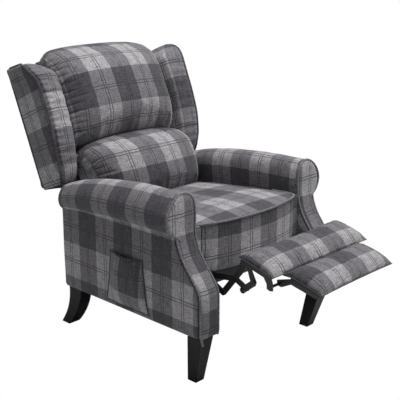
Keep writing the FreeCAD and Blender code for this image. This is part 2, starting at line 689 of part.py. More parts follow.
def border_shape():
    half, back = num("Size.SeatHalf"), num("Size.BorderBack")
    wrap = num("Size.PlatePlane + Size.Steel") + 1.5
    low, high = num("Size.BorderLow"), num("Size.SeatBase")
    side, tail = num("Size.SeatFrontSide"), num("Size.SeatFrontSide") + 30
    right, left = V(-half, side, low), V(half, side, low)
    spots = [left, V(half, tail, low), V(wrap, tail, low), V(wrap, back, low),
             V(-wrap, back, low), V(-wrap, tail, low), V(-half, tail, low), right]
    edges = [line(a, b) for a, b in zip(spots, spots[1:])]
    edges.append(curve(right, V(0, num("Size.SeatFront"), low), left))
    return Part.Face(Part.Wire(edges)).extrude(V(0, 0, high - low))


solid("seat_front_border", border_shape())
place(box("front_border_board", "2*Size.FrameHalf", "Size.FrameFront - Size.BorderBack - 2*Size.Clear",
          "Size.FrameHigh"),
      "0 - Size.FrameHalf", "Size.BorderBack + Size.Clear", "Size.FrameLow")

# Mechanism: side plates on the seat, sliding in the base, and a scissor of links for the footrest.

ROCKER = ("Size.RockerY", "Size.RockerZ")
KNEE = ("Size.KneeY", "Size.KneeZ")
CROSS = ("Size.CrossY", "Size.CrossZ")
SCISSOR = ("Size.ScissorY", "Size.ScissorZ")
SHORT = ("Size.ShortY", "Size.ShortZ")
HANG = ("Size.HangY", "Size.HangZ")
ELBOW = ("Size.ElbowY", "Size.ElbowZ")
FLIP = ("Size.FlipY", "Size.FlipZ")
PIVOT = ("Size.PivotY", "Size.PivotZ")
CROSS_TUBE = ("Size.CrossTubeY", "Size.CrossTubeZ")

PLATE_TOP = "Size.FrameLow + Size.FrameHigh + 2"
plate_corners = (
    ("Size.CrossY - 12", "Size.CrossZ - 13"), ("Size.CrossY - 12", PLATE_TOP),
    ("Size.PivotY + 14", PLATE_TOP), ("Size.PivotY + 27", "Size.PivotZ + 34"),
    ("Size.PivotY + 27", "Size.PivotZ - 15"), ("Size.PivotY - 23", "Size.PivotZ - 45"),
    ("Size.PivotY - 43", "Size.ChannelLow + 3"), ("Size.RockerY + 67", "Size.ChannelLow + 3"),
    ("Size.RockerY + 47", "Size.RockerZ - 38"), ("Size.RockerY - 14", "Size.RockerZ - 16"))
plate_holes = [(spot, HOLE) for spot in (ROCKER, PIVOT) + SPACER_SPOTS]
plate_sheet = place(plate("side_plate_sheet", plate_corners, plate_holes, "Size.Steel"), "Size.PlatePlane")
cross_slot = place(box("cross_slot", "Size.Steel + 2", "2*(Size.Rivet + Size.RivetPlay) + Size.SlotSide",
                       "2*(Size.Rivet + Size.RivetPlay) + Size.SlotPlay + Size.SlotSide/2"),
                   "Size.PlatePlane - 1", "Size.CrossY - Size.Rivet - Size.RivetPlay",
                   "Size.CrossZ - Size.Rivet - Size.RivetPlay - Size.SlotSide/2")
side_plate = cut("side_plate", plate_sheet, [cross_slot])
pair("side_plates", side_plate)
rod("cross_tube", "Size.TieTube", "0 - Size.PlatePlane", "Size.PlatePlane", *CROSS_TUBE)
SLIDE_SPOTS = ("Size.RockerY + 72", "Size.PivotY - 93")
slide_wide = "Size.ArmInner - Size.PlatePlane - Size.Steel - Size.ChannelWall - 2*Size.Clear"
slide_high = "Size.ChannelHigh - 2*Size.ChannelWall - 2*Size.Clear"
blocks = [place(box("slide_block_%d" % i, slide_wide, "Size.SlideLong", slide_high),
                "Size.PlatePlane + Size.Steel", y, "Size.ChannelLow + Size.ChannelWall + Size.Clear")
          for i, y in enumerate(SLIDE_SPOTS)]
pair("slide_blocks", together("slide_blocks_left", blocks))
pins = [rod("rocker_pin", "Size.Rivet", "Size.RockerPlane - Size.HeadThick",
            "Size.PlatePlane + Size.Steel", *ROCKER),
        rod("back_pin", "Size.Rivet", "Size.PlatePlane", "Size.BracketX + Size.Steel", *PIVOT)]
pair("side_plate_pins", together("side_plate_pins_left", pins))

pair("rocker_links", link("rocker_link", ROCKER, KNEE, "Size.RockerPlane"))
pair("knee_rivets", rivet("knee_rivet", KNEE, "Size.LongPlane", "Size.RockerPlane + Size.Steel"))
long_link = link("long_link_blank", KNEE, HANG, "Size.LongPlane")
scissor_bore = rod("long_link_bore", HOLE, "Size.LongPlane - 1", "Size.LongPlane + Size.Steel + 1", *SCISSOR)
pair("long_links", cut("long_link", long_link, [scissor_bore]))
pair("scissor_rivets", rivet("scissor_rivet", SCISSOR, "Size.CrossPlane", "Size.LongPlane + Size.Steel"))

# The cross link is bent, to pass behind and under the boxed front.
cross_corners = (
    ("Size.CrossY - 9", "Size.CrossZ + 9"), ("Size.CrossY + 9", "Size.CrossZ + 9"),
    ("Size.CrossY + 11", "Size.BendZ - 5"), ("Size.CrossY + 3", "Size.BendZ - 10"),
    ("Size.ScissorY + 2", "Size.ScissorZ - 10"), ("Size.ShortY + 3", "Size.ShortZ - 9.5"),
    ("Size.ShortY - 9", "Size.ShortZ - 4"), ("Size.ShortY - 8", "Size.ShortZ + 6"),
    ("Size.ScissorY - 1", "Size.ScissorZ + 9.5"), ("Size.CrossY - 9.5", "Size.BendZ + 10"))
cross_link = place(plate("cross_link", cross_corners, [(spot, HOLE) for spot in (CROSS, SCISSOR, SHORT)],
                         "Size.Steel"), "Size.CrossPlane")
pair("cross_links", cross_link)
cross_pins = [rivet("cross_pin", CROSS, "Size.CrossPlane", "Size.PlatePlane + Size.Steel"),
              rivet("short_pin", SHORT, "Size.CrossPlane", "Size.TiePlane + Size.Steel")]
pair("cross_pins", together("cross_pins_left", cross_pins))
pair("hanger_rivets", rivet("hanger_rivet", HANG, "Size.LongPlane", "Size.BracketPlane + Size.Steel"))

# Footrest: two boards on steel brackets, each with its own crowned pad.


def under_board(along, drop):
    """A point below the first pad's board, as y and z expressions."""
    height = "0 - Size.BoardThick - (%s)" % drop
    return pad_y(along, height), pad_z(along, height)


bracket_corners = (
    under_board("-4", "0.2"), under_board("Size.PadLong - 20", "0.2"),
    ("Size.FlipY - 11", "Size.FlipZ + 9"), ("Size.FlipY - 11", "Size.FlipZ - 8"),
    ("Size.FlipY", "Size.FlipZ - 10"), ("Size.FlipY + 10", "Size.FlipZ - 6"),
    ("Size.FlipY + 11", "Size.FlipZ + 8"), under_board("Size.PadLong - 42", "Size.StripDeep"),
    under_board("Size.PadLong - 88", "Size.StripDeep"), ("Size.ElbowY - 10", "Size.ElbowZ + 4"),
    ("Size.ElbowY - 6", "Size.ElbowZ - 8"), ("Size.ElbowY + 4", "Size.ElbowZ - 10"),
    ("Size.ElbowY + 10", "Size.ElbowZ - 2"), under_board("Size.PadLong - 106", "Size.StripDeep"),
    ("Size.HangY - 10", "Size.HangZ - 5"), ("Size.HangY", "Size.HangZ - 11"),
    ("Size.HangY + 8", "Size.HangZ - 8"), ("Size.HangY + 11", "Size.HangZ + 2"))
bracket = place(plate("footrest_bracket_sheet", bracket_corners,
                      [(spot, HOLE) for spot in (HANG, ELBOW, FLIP)], "Size.Steel"), "Size.BracketPlane")
flange = place_on_pad(box("footrest_flange", "34", "Size.PadLong - 34", "Size.Steel"),
                      "Size.BracketPlane + Size.Steel - 34", "Size.PadLong - 20", "0 - Size.BoardThick - Size.Steel - 0.2")
pair("footrest_brackets", fused("footrest_bracket", [bracket, flange]))
place_on_pad(box("footrest_board", "2*Size.BracketPlane - 4", "Size.PadLong - 2*Size.BoardInset",
                 "Size.BoardThick - 0.2"),
             "2 - Size.BracketPlane", "Size.PadLong - Size.BoardInset", "0 - Size.BoardThick")


def pad_section(x, length, high):
    """A pillow's outline: flat below, domed above, with a sharp edge front and rear."""
    rear, front = V(x, 0, 0), V(x, -length, 0)
    return Part.Wire([line(rear, front), curve(front, V(x, -length / 2, high), rear)])


def pad_shape(half):
    length, crown = num("Size.PadLong"), num("Size.PadCrown")
    shape = []
    for share, swell, draw in ((-1, 0.16, 0.0), (-0.93, 0.72, 0.0), (-0.6, 0.96, 0), (0, 1, 0),
                               (0.6, 0.96, 0), (0.93, 0.72, 0), (1, 0.16, 0)):
        shape.append(pad_section(share * half, length, crown * swell))
    return loft(shape)


place_on_pad(solid("footrest_pad", pad_shape(num("Size.PadHalf"))))
pair("elbow_rivets", rivet("elbow_rivet", ELBOW, "Size.BracketPlane", "Size.TiePlane + Size.Steel"))

# The short link's pin travels in a long hole towards its elbow.
short_turn = "atan2(Size.ElbowZ - Size.ShortZ; Size.ElbowY - Size.ShortY)"
slot_half = "Size.Rivet + Size.RivetPlay + Size.SlotSide"
short_slot = box("short_slot", "Size.Steel + 2", "2*(Size.Rivet + Size.RivetPlay) + Size.ShortPlay + 2*Size.SlotSide/2",
                 "2*(%s)" % slot_half)
place(short_slot, "Size.TiePlane - 1",
      "Size.ShortY + (%s)*sin(%s) - (Size.Rivet + Size.RivetPlay + Size.SlotSide/2)*cos(%s)" % (slot_half, short_turn, short_turn),
      "Size.ShortZ - (%s)*cos(%s) - (Size.Rivet + Size.RivetPlay + Size.SlotSide/2)*sin(%s)" % (slot_half, short_turn, short_turn),
      short_turn)
short_blank = link("short_link_blank", ELBOW, SHORT, "Size.TiePlane")
pair("short_links", cut("short_link", short_blank, [short_slot]))
pair("flip_pins", rod("flip_pin", "Size.Rivet", "Size.FlipPlane - 3", "Size.BracketPlane + Size.Steel + 1", *FLIP))

SECOND = "Size.PadLong + Size.PadGap"
flip_corners = (
    ("Size.FlipY + 10", "Size.FlipZ + 8"), under_board(SECOND + " + 14", "0.2"),
    under_board(SECOND + " + Size.PadLong - 22", "0.2"), under_board(SECOND + " + Size.PadLong - 22", "12"),
    under_board(SECOND + " + 18", "16"), ("Size.FlipY - 6", "Size.FlipZ - 10"),
    ("Size.FlipY + 10", "Size.FlipZ - 8"))
flip_sheet = place(plate("flipper_bracket_sheet", flip_corners, [(FLIP, HOLE)], "Size.Steel"), "Size.FlipPlane")
flip_flange = place_on_pad(box("flipper_flange", "30", "Size.PadLong - 40", "Size.Steel"),
                           "Size.FlipPlane + Size.Steel - 30", SECOND + " + Size.PadLong - 22",
                           "0 - Size.BoardThick - Size.Steel - 0.2")
pair("flipper_brackets", fused("flipper_bracket", [flip_sheet, flip_flange]))
place_on_pad(box("flipper_board", "2*(Size.PadTwoHalf - Size.BoardInset)", "Size.PadLong - 2*Size.BoardInset",
                 "Size.BoardThick - 0.2"),
             "Size.BoardInset - Size.PadTwoHalf", SECOND + " + Size.PadLong - Size.BoardInset",
             "0 - Size.BoardThick")
place_on_pad(solid("flipper_pad", pad_shape(num("Size.PadTwoHalf"))), "0", SECOND)

# Back: a ladder frame on two brackets, two cushions, two wings and a padded outer shell.

upright = place_on_back(box("back_upright", "Size.BackWood", "Size.BackDeep", "Size.BackTop - Size.BackFoot"),
                        "Size.BackHalf - Size.BackWood", "Size.BackFront", "Size.BackFoot")
rails = [place_on_back(box("back_rail_%d" % i, "2*(Size.BackHalf - Size.BackWood)", "Size.BackDeep", "Size.BackRail"),
                       "Size.BackWood - Size.BackHalf", "Size.BackFront", up)
         for i, up in enumerate(("Size.BackFoot + 22", "Size.LumbarTop - Size.BackRail/2", "Size.BackTop - Size.BackRail"))]
together("back_frame", [upright, mirrored("back_upright_right", upright)] + rails)
straps = [place_on_back(box("back_strap_%d" % i, "2*(Size.BackHalf - 2)", "Size.WebThick", "50"),
                        "2 - Size.BackHalf", "Size.BackFront - Size.WebThick - Size.Clear", up)
          for i, up in enumerate(("95", "175", "250", "345", "430", "515"))]
together("back_webbing", straps)


CUSHION_BACK = "Size.BackFront - Size.WebThick - 2*Size.Clear"


def back_ring(up, half, side, middle, draw):
    """A cushion's outline square to the back: domed in front, its sides drawn in."""
    rear = num(CUSHION_BACK)
    left, right = V(half, side, up), V(-half, side, up)
    rear_left, rear_right = V(half - draw, rear, up), V(draw - half, rear, up)
    return Part.Wire([curve(right, V(0, middle, up), left), line(left, rear_left),
                      line(rear_left, rear_right), line(rear_right, right)])


def cushion_shape(foot, top, rings):
    high = num(top) - num(foot)
    return loft([back_ring(num(foot) + share * high, half, side, middle, draw)
                 for share, half, side, middle, draw in rings])


LUMBAR_RINGS = ((0, 205, 24, -66, 10), (0.12, 230, 14, -84, 6), (0.4, 236, 8, -92, 4),
                (0.7, 235, 14, -80, 4), (0.9, 226, 38, -42, 6), (1, 205, 62, 8, 10))
PILLOW_RINGS = ((0, 205, 60, 6, 10), (0.08, 230, 40, -28, 6), (0.35, 237, 16, -52, 4),
                (0.62, 238, 14, -50, 4), (0.85, 232, 34, -20, 6), (0.96, 214, 58, 22, 8), (1, 190, 74, 52, 8))
place_on_back(solid("lumbar_cushion", cushion_shape("Size.LumbarFoot", "Size.LumbarTop", LUMBAR_RINGS)))
place_on_back(solid("head_pillow", cushion_shape("Size.PillowFoot", "Size.PillowTop", PILLOW_RINGS)))

# Each row: share of the wing's height, outer face at the front and at the rear, front edge.
WING_RINGS = ((0, 302, 326, 75), (0.04, 308, 327, 63), (0.19, 321, 328, 31), (0.385, 324, 328, 10),
              (0.62, 324, 329, 4), (0.8, 328, 330, 7), (0.94, 340, 334, 27), (0.985, 338, 334, 48),
              (1, 332, 330, 66))


def wing_ring(share, front_x, rear_x, front):
    foot, top, inner, rear = (num("Size." + word) for word in ("WingFoot", "WingTop", "WingInner", "BackRear"))
    up = foot + share * (top - foot)
    inner_front, outer_front = V(inner, front + 12, up), V(front_x, front, up)
    nose = V((inner + front_x) / 2, front - 12, up)
    inner_rear, outer_rear = V(inner, rear, up), V(rear_x, rear, up)
    return Part.Wire([line(inner_rear, outer_rear), line(outer_rear, outer_front),
                      curve(outer_front, nose, inner_front), line(inner_front, inner_rear)])


def wing_slot():
    """The room for the wing's panel, open at the rear."""
    clear, board = num("Size.Clear"), num("Size.WingBoard")
    return Part.makeBox(board + 2 * clear, num("Size.BackRear") - num(WING_BOARD_V) + clear + 5,
                        num(WING_BOARD_HIGH) + 2 * clear,
                        V(num("Size.WingBoardX") - clear, num(WING_BOARD_V) - clear, num(WING_BOARD_U) - clear))


WING_BOARD_V = "60"
WING_BOARD_U = "Size.WingFoot + 28"
WING_BOARD_HIGH = "Size.WingTop - Size.WingFoot - 56"
wing_shape = loft([wing_ring(*row) for row in WING_RINGS]).cut(wing_slot())
left_wing_cover = place_on_back(solid("left_wing_cover", wing_shape))
mirrored("right_wing_cover", left_wing_cover)
left_wing_board = place_on_back(box("left_wing_board", "Size.WingBoard", "Size.BackRear - (%s) - 1" % WING_BOARD_V,
                                    WING_BOARD_HIGH), "Size.WingBoardX", WING_BOARD_V, WING_BOARD_U)
mirrored("right_wing_board", left_wing_board)
wing_batten = place_on_back(box("wing_batten", "Size.WingInner - Size.BackHalf - 0.6", "30", "300"),
                            "Size.BackHalf + Size.Clear", "Size.BackFront + 4", "Size.WingFoot + 60")
pair("wing_battens", wing_batten)

shell_corners = (
    ("0 - Size.BackHalf - 5", "Size.ShellFoot"), ("Size.BackHalf + 5", "Size.ShellFoot"),
    ("Size.BackHalf + 5", "Size.WingFoot"), ("Size.ShellLow", "Size.WingFoot"), ("Size.ShellMid", "Size.WingFoot + Size.ShellMidUp"),
    ("Size.ShellTop", "Size.WingTop"), ("0 - Size.ShellTop", "Size.WingTop"),
    ("0 - Size.ShellMid", "Size.WingFoot + Size.ShellMidUp"), ("0 - Size.ShellLow", "Size.WingFoot"), ("0 - Size.BackHalf - 5", "Size.WingFoot"))
place_on_back(plate("outer_back", shell_corners, [], "Size.ShellThick", "XZ_Plane"), "0",
              "Size.BackRear + Size.Clear + Size.ShellThick", "0")


def top_pad_shape():
    """The roll of padding along the top of the back, between the wings."""
    half = num("Size.WingInner") - 1
    front, rear, low = num(CUSHION_BACK) + 1, num("Size.BackRear"), num("Size.BackTop") + num("Size.Clear")
    a, b = V(-half, rear, low), V(-half, front, low)
    crest = V(-half, (front + rear) / 2, low + num("Size.TopPadHigh"))
    face = Part.Face(Part.Wire([line(a, b), curve(b, crest, a)]))
    return face.extrude(V(2 * half, 0, 0))


place_on_back(solid("back_top_pad", top_pad_shape()))
foot_cloth = place_on_back(box("wing_foot_cloth", "Size.WingCloth", "Size.BackRear - 74", "Size.DustThick"),
                           "Size.WingInner + 2", "73", "Size.WingFoot - Size.DustThick")
pair("wing_foot_cloths", foot_cloth)
back_bracket_corners = (
    ("-14", "-14"), ("10", "-16"), ("Size.BackFront + 34", "8"), ("Size.BackFront + 34", "120"),
    ("Size.BackFront + 4", "120"), ("Size.BackFront + 4", "62"), ("2", "16"), ("-14", "12"))
back_bracket = place_on_back(plate("back_bracket", back_bracket_corners, [(("0", "0"), HOLE)], "Size.Steel"),
                             "Size.BracketX")
pair("back_brackets", back_bracket)

# Check every object, then write one file for each piece.

NODES = (
    "left_arm_frame", "right_arm_frame", "left_arm_cover", "right_arm_cover", "left_arm_facing",
    "right_arm_facing", "side_pocket", "front_left_leg", "front_right_leg", "rear_left_leg",
    "rear_right_leg", "leg_bolts", "rear_base_rail", "base_tie_tube", "glide_channels",
    "seat_frame", "frame_spacers", "frame_bolts", "seat_springs", "seat_dust_cloth", "seat_cushion",
    "seat_front_border", "front_border_board", "side_plates", "cross_tube", "slide_blocks",
    "side_plate_pins", "rocker_links", "knee_rivets", "long_links", "scissor_rivets", "cross_links",
    "cross_pins", "hanger_rivets", "footrest_brackets", "footrest_board", "footrest_pad", "elbow_rivets",
    "short_links", "flip_pins", "flipper_brackets", "flipper_board", "flipper_pad", "back_frame",
    "back_webbing", "lumbar_cushion", "head_pillow", "left_wing_cover", "right_wing_cover",
    "left_wing_board", "right_wing_board", "wing_battens", "back_top_pad", "wing_foot_cloths",
    "outer_back", "back_brackets")

doc.recompute()
for thing in doc.Objects:
    if "Invalid" in thing.State or "Error" in thing.State:
        raise RuntimeError("%s did not build: %s" % (thing.Name, thing.State))
os.makedirs("parts", exist_ok=True)
for node in NODES:
    piece = doc.getObject(node)
    if piece.Shape.isNull() or not piece.Shape.isValid() or not piece.Shape.Solids:
        raise RuntimeError("%s has no valid solid" % node)
for node in NODES:
    doc.getObject(node).Shape.exportStep("parts/%s.step" % node)
print("wrote", len(NODES), "pieces")
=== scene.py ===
import bpy
import bmesh
import json
import math
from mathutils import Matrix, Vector, noise


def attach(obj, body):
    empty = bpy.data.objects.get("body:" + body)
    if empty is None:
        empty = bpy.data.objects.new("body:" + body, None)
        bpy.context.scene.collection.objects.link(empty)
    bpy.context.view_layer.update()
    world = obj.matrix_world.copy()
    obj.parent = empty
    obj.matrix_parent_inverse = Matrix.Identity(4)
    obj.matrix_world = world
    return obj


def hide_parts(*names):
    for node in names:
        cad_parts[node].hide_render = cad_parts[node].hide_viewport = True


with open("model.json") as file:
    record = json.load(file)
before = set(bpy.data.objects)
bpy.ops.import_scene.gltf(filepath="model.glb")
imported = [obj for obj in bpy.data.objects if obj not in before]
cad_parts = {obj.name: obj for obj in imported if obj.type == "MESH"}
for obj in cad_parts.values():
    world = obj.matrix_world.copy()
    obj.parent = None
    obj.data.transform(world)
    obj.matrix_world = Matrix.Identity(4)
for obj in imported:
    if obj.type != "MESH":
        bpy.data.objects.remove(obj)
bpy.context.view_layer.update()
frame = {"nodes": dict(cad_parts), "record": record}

# Wing-back push-back recliner. Lengths below are millimetres unless a name or comment says
# otherwise; the sitter faces -Y, the sitter's right is -X, +Z is up.

# Camera: a short telephoto, from the sitter's right and above.

camera_data = bpy.data.cameras.new("camera")
camera_data.sensor_width = 36
camera_data.lens = 75.24
camera = bpy.data.objects.new("camera", camera_data)
bpy.context.scene.collection.objects.link(camera)
camera.location = (-1.883, -1.779, 1.2035)
camera.rotation_euler = (math.radians(90 - 16.09), 0, math.radians(-46.2))
bpy.context.scene.camera = camera

# Checked cloth: a heavy polyester weave that looks like wool, in a traditional grey check.
# Light and dark warp bands cross light and dark weft bands, and a pair of thin dark threads
# runs down the middle of each band. The fibres are matt, and catch a little grazing light.


def colour(hex_code):
    """sRGB hex to linear RGBA."""
    parts = [int(hex_code[k:k + 2], 16) / 255 for k in (1, 3, 5)]
    return tuple(c / 12.92 if c <= 0.04045 else ((c + 0.055) / 1.055) ** 2.4 for c in parts) + (1,)


def add_node(tree, kind, settings=None, links=None):
    """Add a shader node. Settings name its properties or its sockets, links name its sockets."""
    made = tree.nodes.new("ShaderNode" + kind)
    for key, value in (settings or {}).items():
        if isinstance(key, str) and hasattr(made, key):
            setattr(made, key, value)
        else:
            made.inputs[key].default_value = value
    for key, source in (links or {}).items():
        tree.links.new(source, made.inputs[key])
    return made


def maths(tree, operation, *terms):
    """A Math node on numbers and other nodes' outputs."""
    settings, links = {"operation": operation}, {}
    for k, term in enumerate(terms):
        (settings if isinstance(term, (int, float)) else links)[k] = term
    return add_node(tree, "Math", settings, links).outputs[0]


def new_material(name):
    """An empty material with its Principled shader."""
    made = bpy.data.materials.new(name)
    made.use_nodes = True
    made.node_tree.nodes.clear()
    shader = add_node(made.node_tree, "BsdfPrincipled")
    add_node(made.node_tree, "OutputMaterial", links={"Surface": shader.outputs[0]})
    return made, made.node_tree, shader


def textured(name, pattern, tones, roughness, relief=None, more=None):
    """A material in two tones. A pattern is a texture's kind and settings, and how it is stretched over
    the piece. roughness is a value or its range, relief is strength, depth and a pattern if not the same."""
    made, tree, shader = new_material(name)

    def texture(kind, settings, stretch=None):
        place = add_node(tree, "TexCoord").outputs["Object"]
        if stretch:
            place = add_node(tree, "Mapping", {"Scale": stretch}, {0: place}).outputs[0]
        return add_node(tree, kind, settings, {"Vector": place}).outputs[0]

    shade = texture(*pattern)
    mixed = add_node(tree, "MixRGB", {1: colour(tones[0]), 2: colour(tones[1])}, {0: shade})
    tree.links.new(mixed.outputs[0], shader.inputs["Base Color"])
    if isinstance(roughness, tuple):
        ranged = add_node(tree, "MapRange", {3: roughness[0], 4: roughness[1]}, {0: shade})
        tree.links.new(ranged.outputs[0], shader.inputs["Roughness"])
    else:
        shader.inputs["Roughness"].default_value = roughness
    if relief:
        height = texture(*relief[2]) if len(relief) > 2 else shade
        bump = add_node(tree, "Bump", {"Strength": relief[0], "Distance": relief[1]}, {"Height": height})
        tree.links.new(bump.outputs[0], shader.inputs["Normal"])
    for socket, value in (more or {}).items():
        shader.inputs[socket].default_value = value
    return made


COLUMN = 0.085      # width of a warp band, m
ROW = 0.118         # height of a weft band, m
PAIR = 0.0046       # half the distance between the two thin lines
LINE = 0.0014       # half the thickness of a line
WEAVE = 0.0017      # pitch of the weave as drawn; it is really about 0.8 mm, which the render would lose

checked_cloth, tree, shader = new_material("checked_wool_look_polyester")
uv = add_node(tree, "UVMap", {"uv_map": "cloth"}).outputs["UV"]
wander = add_node(tree, "TexNoise", {"Scale": 45, "Detail": 1}, {"Vector": uv}).outputs["Color"]
shift = add_node(tree, "VectorMath", {"operation": "MULTIPLY_ADD", 1: (0.003,) * 3, 2: (-0.0015,) * 3},
                 {0: wander}).outputs[0]
threads = add_node(tree, "VectorMath", {"operation": "ADD"}, {0: uv, 1: shift}).outputs[0]
axes = add_node(tree, "SeparateXYZ", links={0: threads}).outputs
dark, lines = [], []
for axis, band in ((0, COLUMN), (1, ROW)):
    phase = maths(tree, "FRACT", maths(tree, "DIVIDE", axes[axis], 2 * band))
    dark.append(maths(tree, "LESS_THAN", phase, 0.5))
    along = maths(tree, "PINGPONG", axes[axis], 0.5 * band)
    near = maths(tree, "SUBTRACT", 0.5 * band, along)
    lines.append(maths(tree, "COMPARE", near, PAIR, LINE))
LIGHT, MIDDLE, DARK, THREAD = (colour(c) for c in ("#99979a", "#6e6c70", "#48464b", "#37353b"))
one = add_node(tree, "MixRGB", {1: LIGHT, 2: MIDDLE}, {0: dark[0]}).outputs[0]
two = add_node(tree, "MixRGB", {1: MIDDLE, 2: DARK}, {0: dark[0]}).outputs[0]
check = add_node(tree, "MixRGB", {}, {0: dark[1], 1: one, 2: two}).outputs[0]
faint = maths(tree, "MULTIPLY", maths(tree, "MAXIMUM", *lines), 0.8)
lined = add_node(tree, "MixRGB", {2: THREAD}, {0: faint, 1: check}).outputs[0]
# Slubs: uneven threads, 2.5 mm wide and 30 mm long, along the warp and along the weft.
warp = add_node(tree, "Mapping", {"Scale": (430, 32, 1)}, {0: uv}).outputs[0]
weft = add_node(tree, "Mapping", {"Scale": (32, 430, 1)}, {0: uv}).outputs[0]
slub_warp = add_node(tree, "TexNoise", {"Scale": 1, "Detail": 2}, {"Vector": warp}).outputs[0]
slub_weft = add_node(tree, "TexNoise", {"Scale": 1, "Detail": 2}, {"Vector": weft}).outputs[0]
fleck = add_node(tree, "TexNoise", {"Scale": 260, "Detail": 2}, {"Vector": uv}).outputs[0]
slubs = maths(tree, "ADD", slub_warp, slub_weft)
uneven = maths(tree, "ADD", slubs, fleck)
tone = add_node(tree, "MapRange", {1: 1.15, 2: 1.85, 3: 0.46, 4: 1.54}, {0: uneven}).outputs[0]
cloth_colour = add_node(tree, "VectorMath", {"operation": "SCALE"}, {0: lined, "Scale": tone}).outputs[0]
tree.links.new(cloth_colour, shader.inputs["Base Color"])
waves = [maths(tree, "SINE", maths(tree, "MULTIPLY", axes[k], 2 * math.pi / WEAVE)) for k in (0, 1)]
relief = maths(tree, "MULTIPLY_ADD", maths(tree, "MULTIPLY", *waves), 0.35, slubs)
bump = add_node(tree, "Bump", {"Strength": 0.5, "Distance": 0.0006}, {"Height": relief}).outputs[0]
tree.links.new(bump, shader.inputs["Normal"])
shader.inputs["Roughness"].default_value = 0.94
shader.inputs["Sheen Weight"].default_value = 0.12
shader.inputs["Sheen Roughness"].default_value = 0.45
shader.inputs["Specular IOR Level"].default_value = 0.25

# Arms: foam over a timber frame, covered in the checked cloth. The inner cloth runs up the
# inside and over a scrolled roll to a gathered seam under it; a second panel hangs from that
# seam on the outer side. The roll falls towards the rear. Front and rear ends are closed.

FOOT, REAR = 160.5, 344
ROLL_FRONT, ROLL_LONG = -184, 528       # y of the roll's front, and how far it runs back
NECK, ROLL_TOP = 449, 570               # height of the seam under the roll, and of its top
PANEL_X, ARM_MIDDLE = 319, 284          # x of the outer panel, and of the arm's middle
ARM_CLOTH = 520                         # length of cloth along the arm
FRONT_CURVE = ((160.5, -281.5), (281, -281.5), (300, -277), (312, -270), (330, -257), (362, -230),
               (400, -204), (436, -190), (470, -184.5), (500, -184), (545, -183), (571, -178))
INSIDE = ((249, 160.5), (246, 165), (245, 200), (245, 300), (245, 400), (243.5, 455), (240.5, 490),
          (240.5, 520), (246, 546), (259, 563), (277, 569.5), (290, 569.8))
OUTSIDE_ROLL = ((290, 569.8), (305, 567), (321, 557), (337, 541), (349, 522), (354, 503), (351, 482),
                (342, 466), (330, 455), (321, 450))
OUTSIDE_PANEL = ((321, 450), (319.5, 444), (319, 420), (319, 330), (319, 240), (319, 190), (318.5, 166),
                 (315, 160.5))


def smooth_value(table, x):
    """The value at x of rows of (x, value), along a smooth curve through them."""
    if x <= table[0][0]:
        return table[0][1]
    if x >= table[-1][0]:
        return table[-1][1]
    i = max(k for k in range(len(table) - 1) if table[k][0] <= x)
    slope = [(b[1] - a[1]) / (b[0] - a[0]) for a, b in zip(table, table[1:])]
    (x0, y0), (x1, y1) = table[i], table[i + 1]

    def tangent(k):
        if k == 0 or k == len(slope):
            return slope[min(k, len(slope) - 1)]
        left, right = slope[k - 1], slope[k]
        return 0 if left * right <= 0 else 2 * left * right / (left + right)

    h, t = x1 - x0, (x - x0) / (x1 - x0)
    return (y0 * (1 + 2 * t) * (1 - t) ** 2 + h * tangent(i) * t * (1 - t) ** 2
            + y1 * t * t * (3 - 2 * t) + h * tangent(i + 1) * t * t * (t - 1))


def distances(path):
    """The distance of each point along a path from its first one."""
    reach = [0.0]
    for a, b in zip(path, path[1:]):
        reach.append(reach[-1] + (b - a).length)
    return reach


def even_path(points, count):
    """count + 1 evenly spaced points, each with its distance, along a smooth line through points."""
    points = [Vector(p) for p in points]
    points = [p for k, p in enumerate(points) if k == 0 or (p - points[k - 1]).length > 0.01]
    dense = []
    for k in range(len(points) - 1):
        a, b = points[k], points[k + 1]
        before = points[k - 1] if k else a * 2 - b
        after = points[k + 2] if k + 2 < len(points) else b * 2 - a
        d0, d1, d2 = ((p - q).length ** 0.5 for p, q in ((a, before), (b, a), (after, b)))
        ta = ((a - before) / d0 - (b - before) / (d0 + d1) + (b - a) / d1) * d1
        tb = ((b - a) / d1 - (after - a) / (d1 + d2) + (after - b) / d2) * d1
        for j in range(24):
            t = j / 24
            dense.append(a * (1 + 2 * t) * (1 - t) ** 2 + ta * t * (1 - t) ** 2
                         + b * t * t * (3 - 2 * t) + tb * t * t * (t - 1))
    dense.append(points[-1])
    reach = distances(dense)
    made, i = [], 0
    for k in range(count + 1):
        want = reach[-1] * k / count
        while i < len(dense) - 2 and reach[i + 1] < want:
            i += 1
        share = (want - reach[i]) / max(reach[i + 1] - reach[i], 1e-9)
        made.append((dense[i].lerp(dense[i + 1], min(1, share)), want))
    return made


def smooth_line(points, count):
    """The points of even_path without their distances."""
    return [p for p, _ in even_path(points, count)]


def cloth_panel(bm, cols, rows, place, check):
    """A rectangle of cloth. place says where its point (s, t) lies, check what it shows of the pattern."""
    layer = bm.loops.layers.uv.get("cloth") or bm.loops.layers.uv.new("cloth")
    made = bmesh.ops.create_grid(bm, x_segments=cols, y_segments=rows, size=0.5)["verts"]
    where = {v: (v.co.x + 0.5, v.co.y + 0.5) for v in made}
    for v in made:
        for loop in v.link_loops:
            loop[layer].uv = Vector(check(*where[v])) * 0.001
    for v, st in where.items():
        v.co = place(*st)
    return made


def straight_check(place, across, up, column, row):
    """A check whose threads follow two axes of the panel, with its pattern started at column and row."""
    def check(s, t):
        q = place(s, t)
        return q[across] - column, q[up] - row
    return check


def close_seams(bm, near=0.05):
    """Join panels where they meet, and close what is still open."""
    bmesh.ops.remove_doubles(bm, verts=bm.verts, dist=near)
    bmesh.ops.holes_fill(bm, edges=[e for e in bm.edges if e.is_boundary], sides=0)


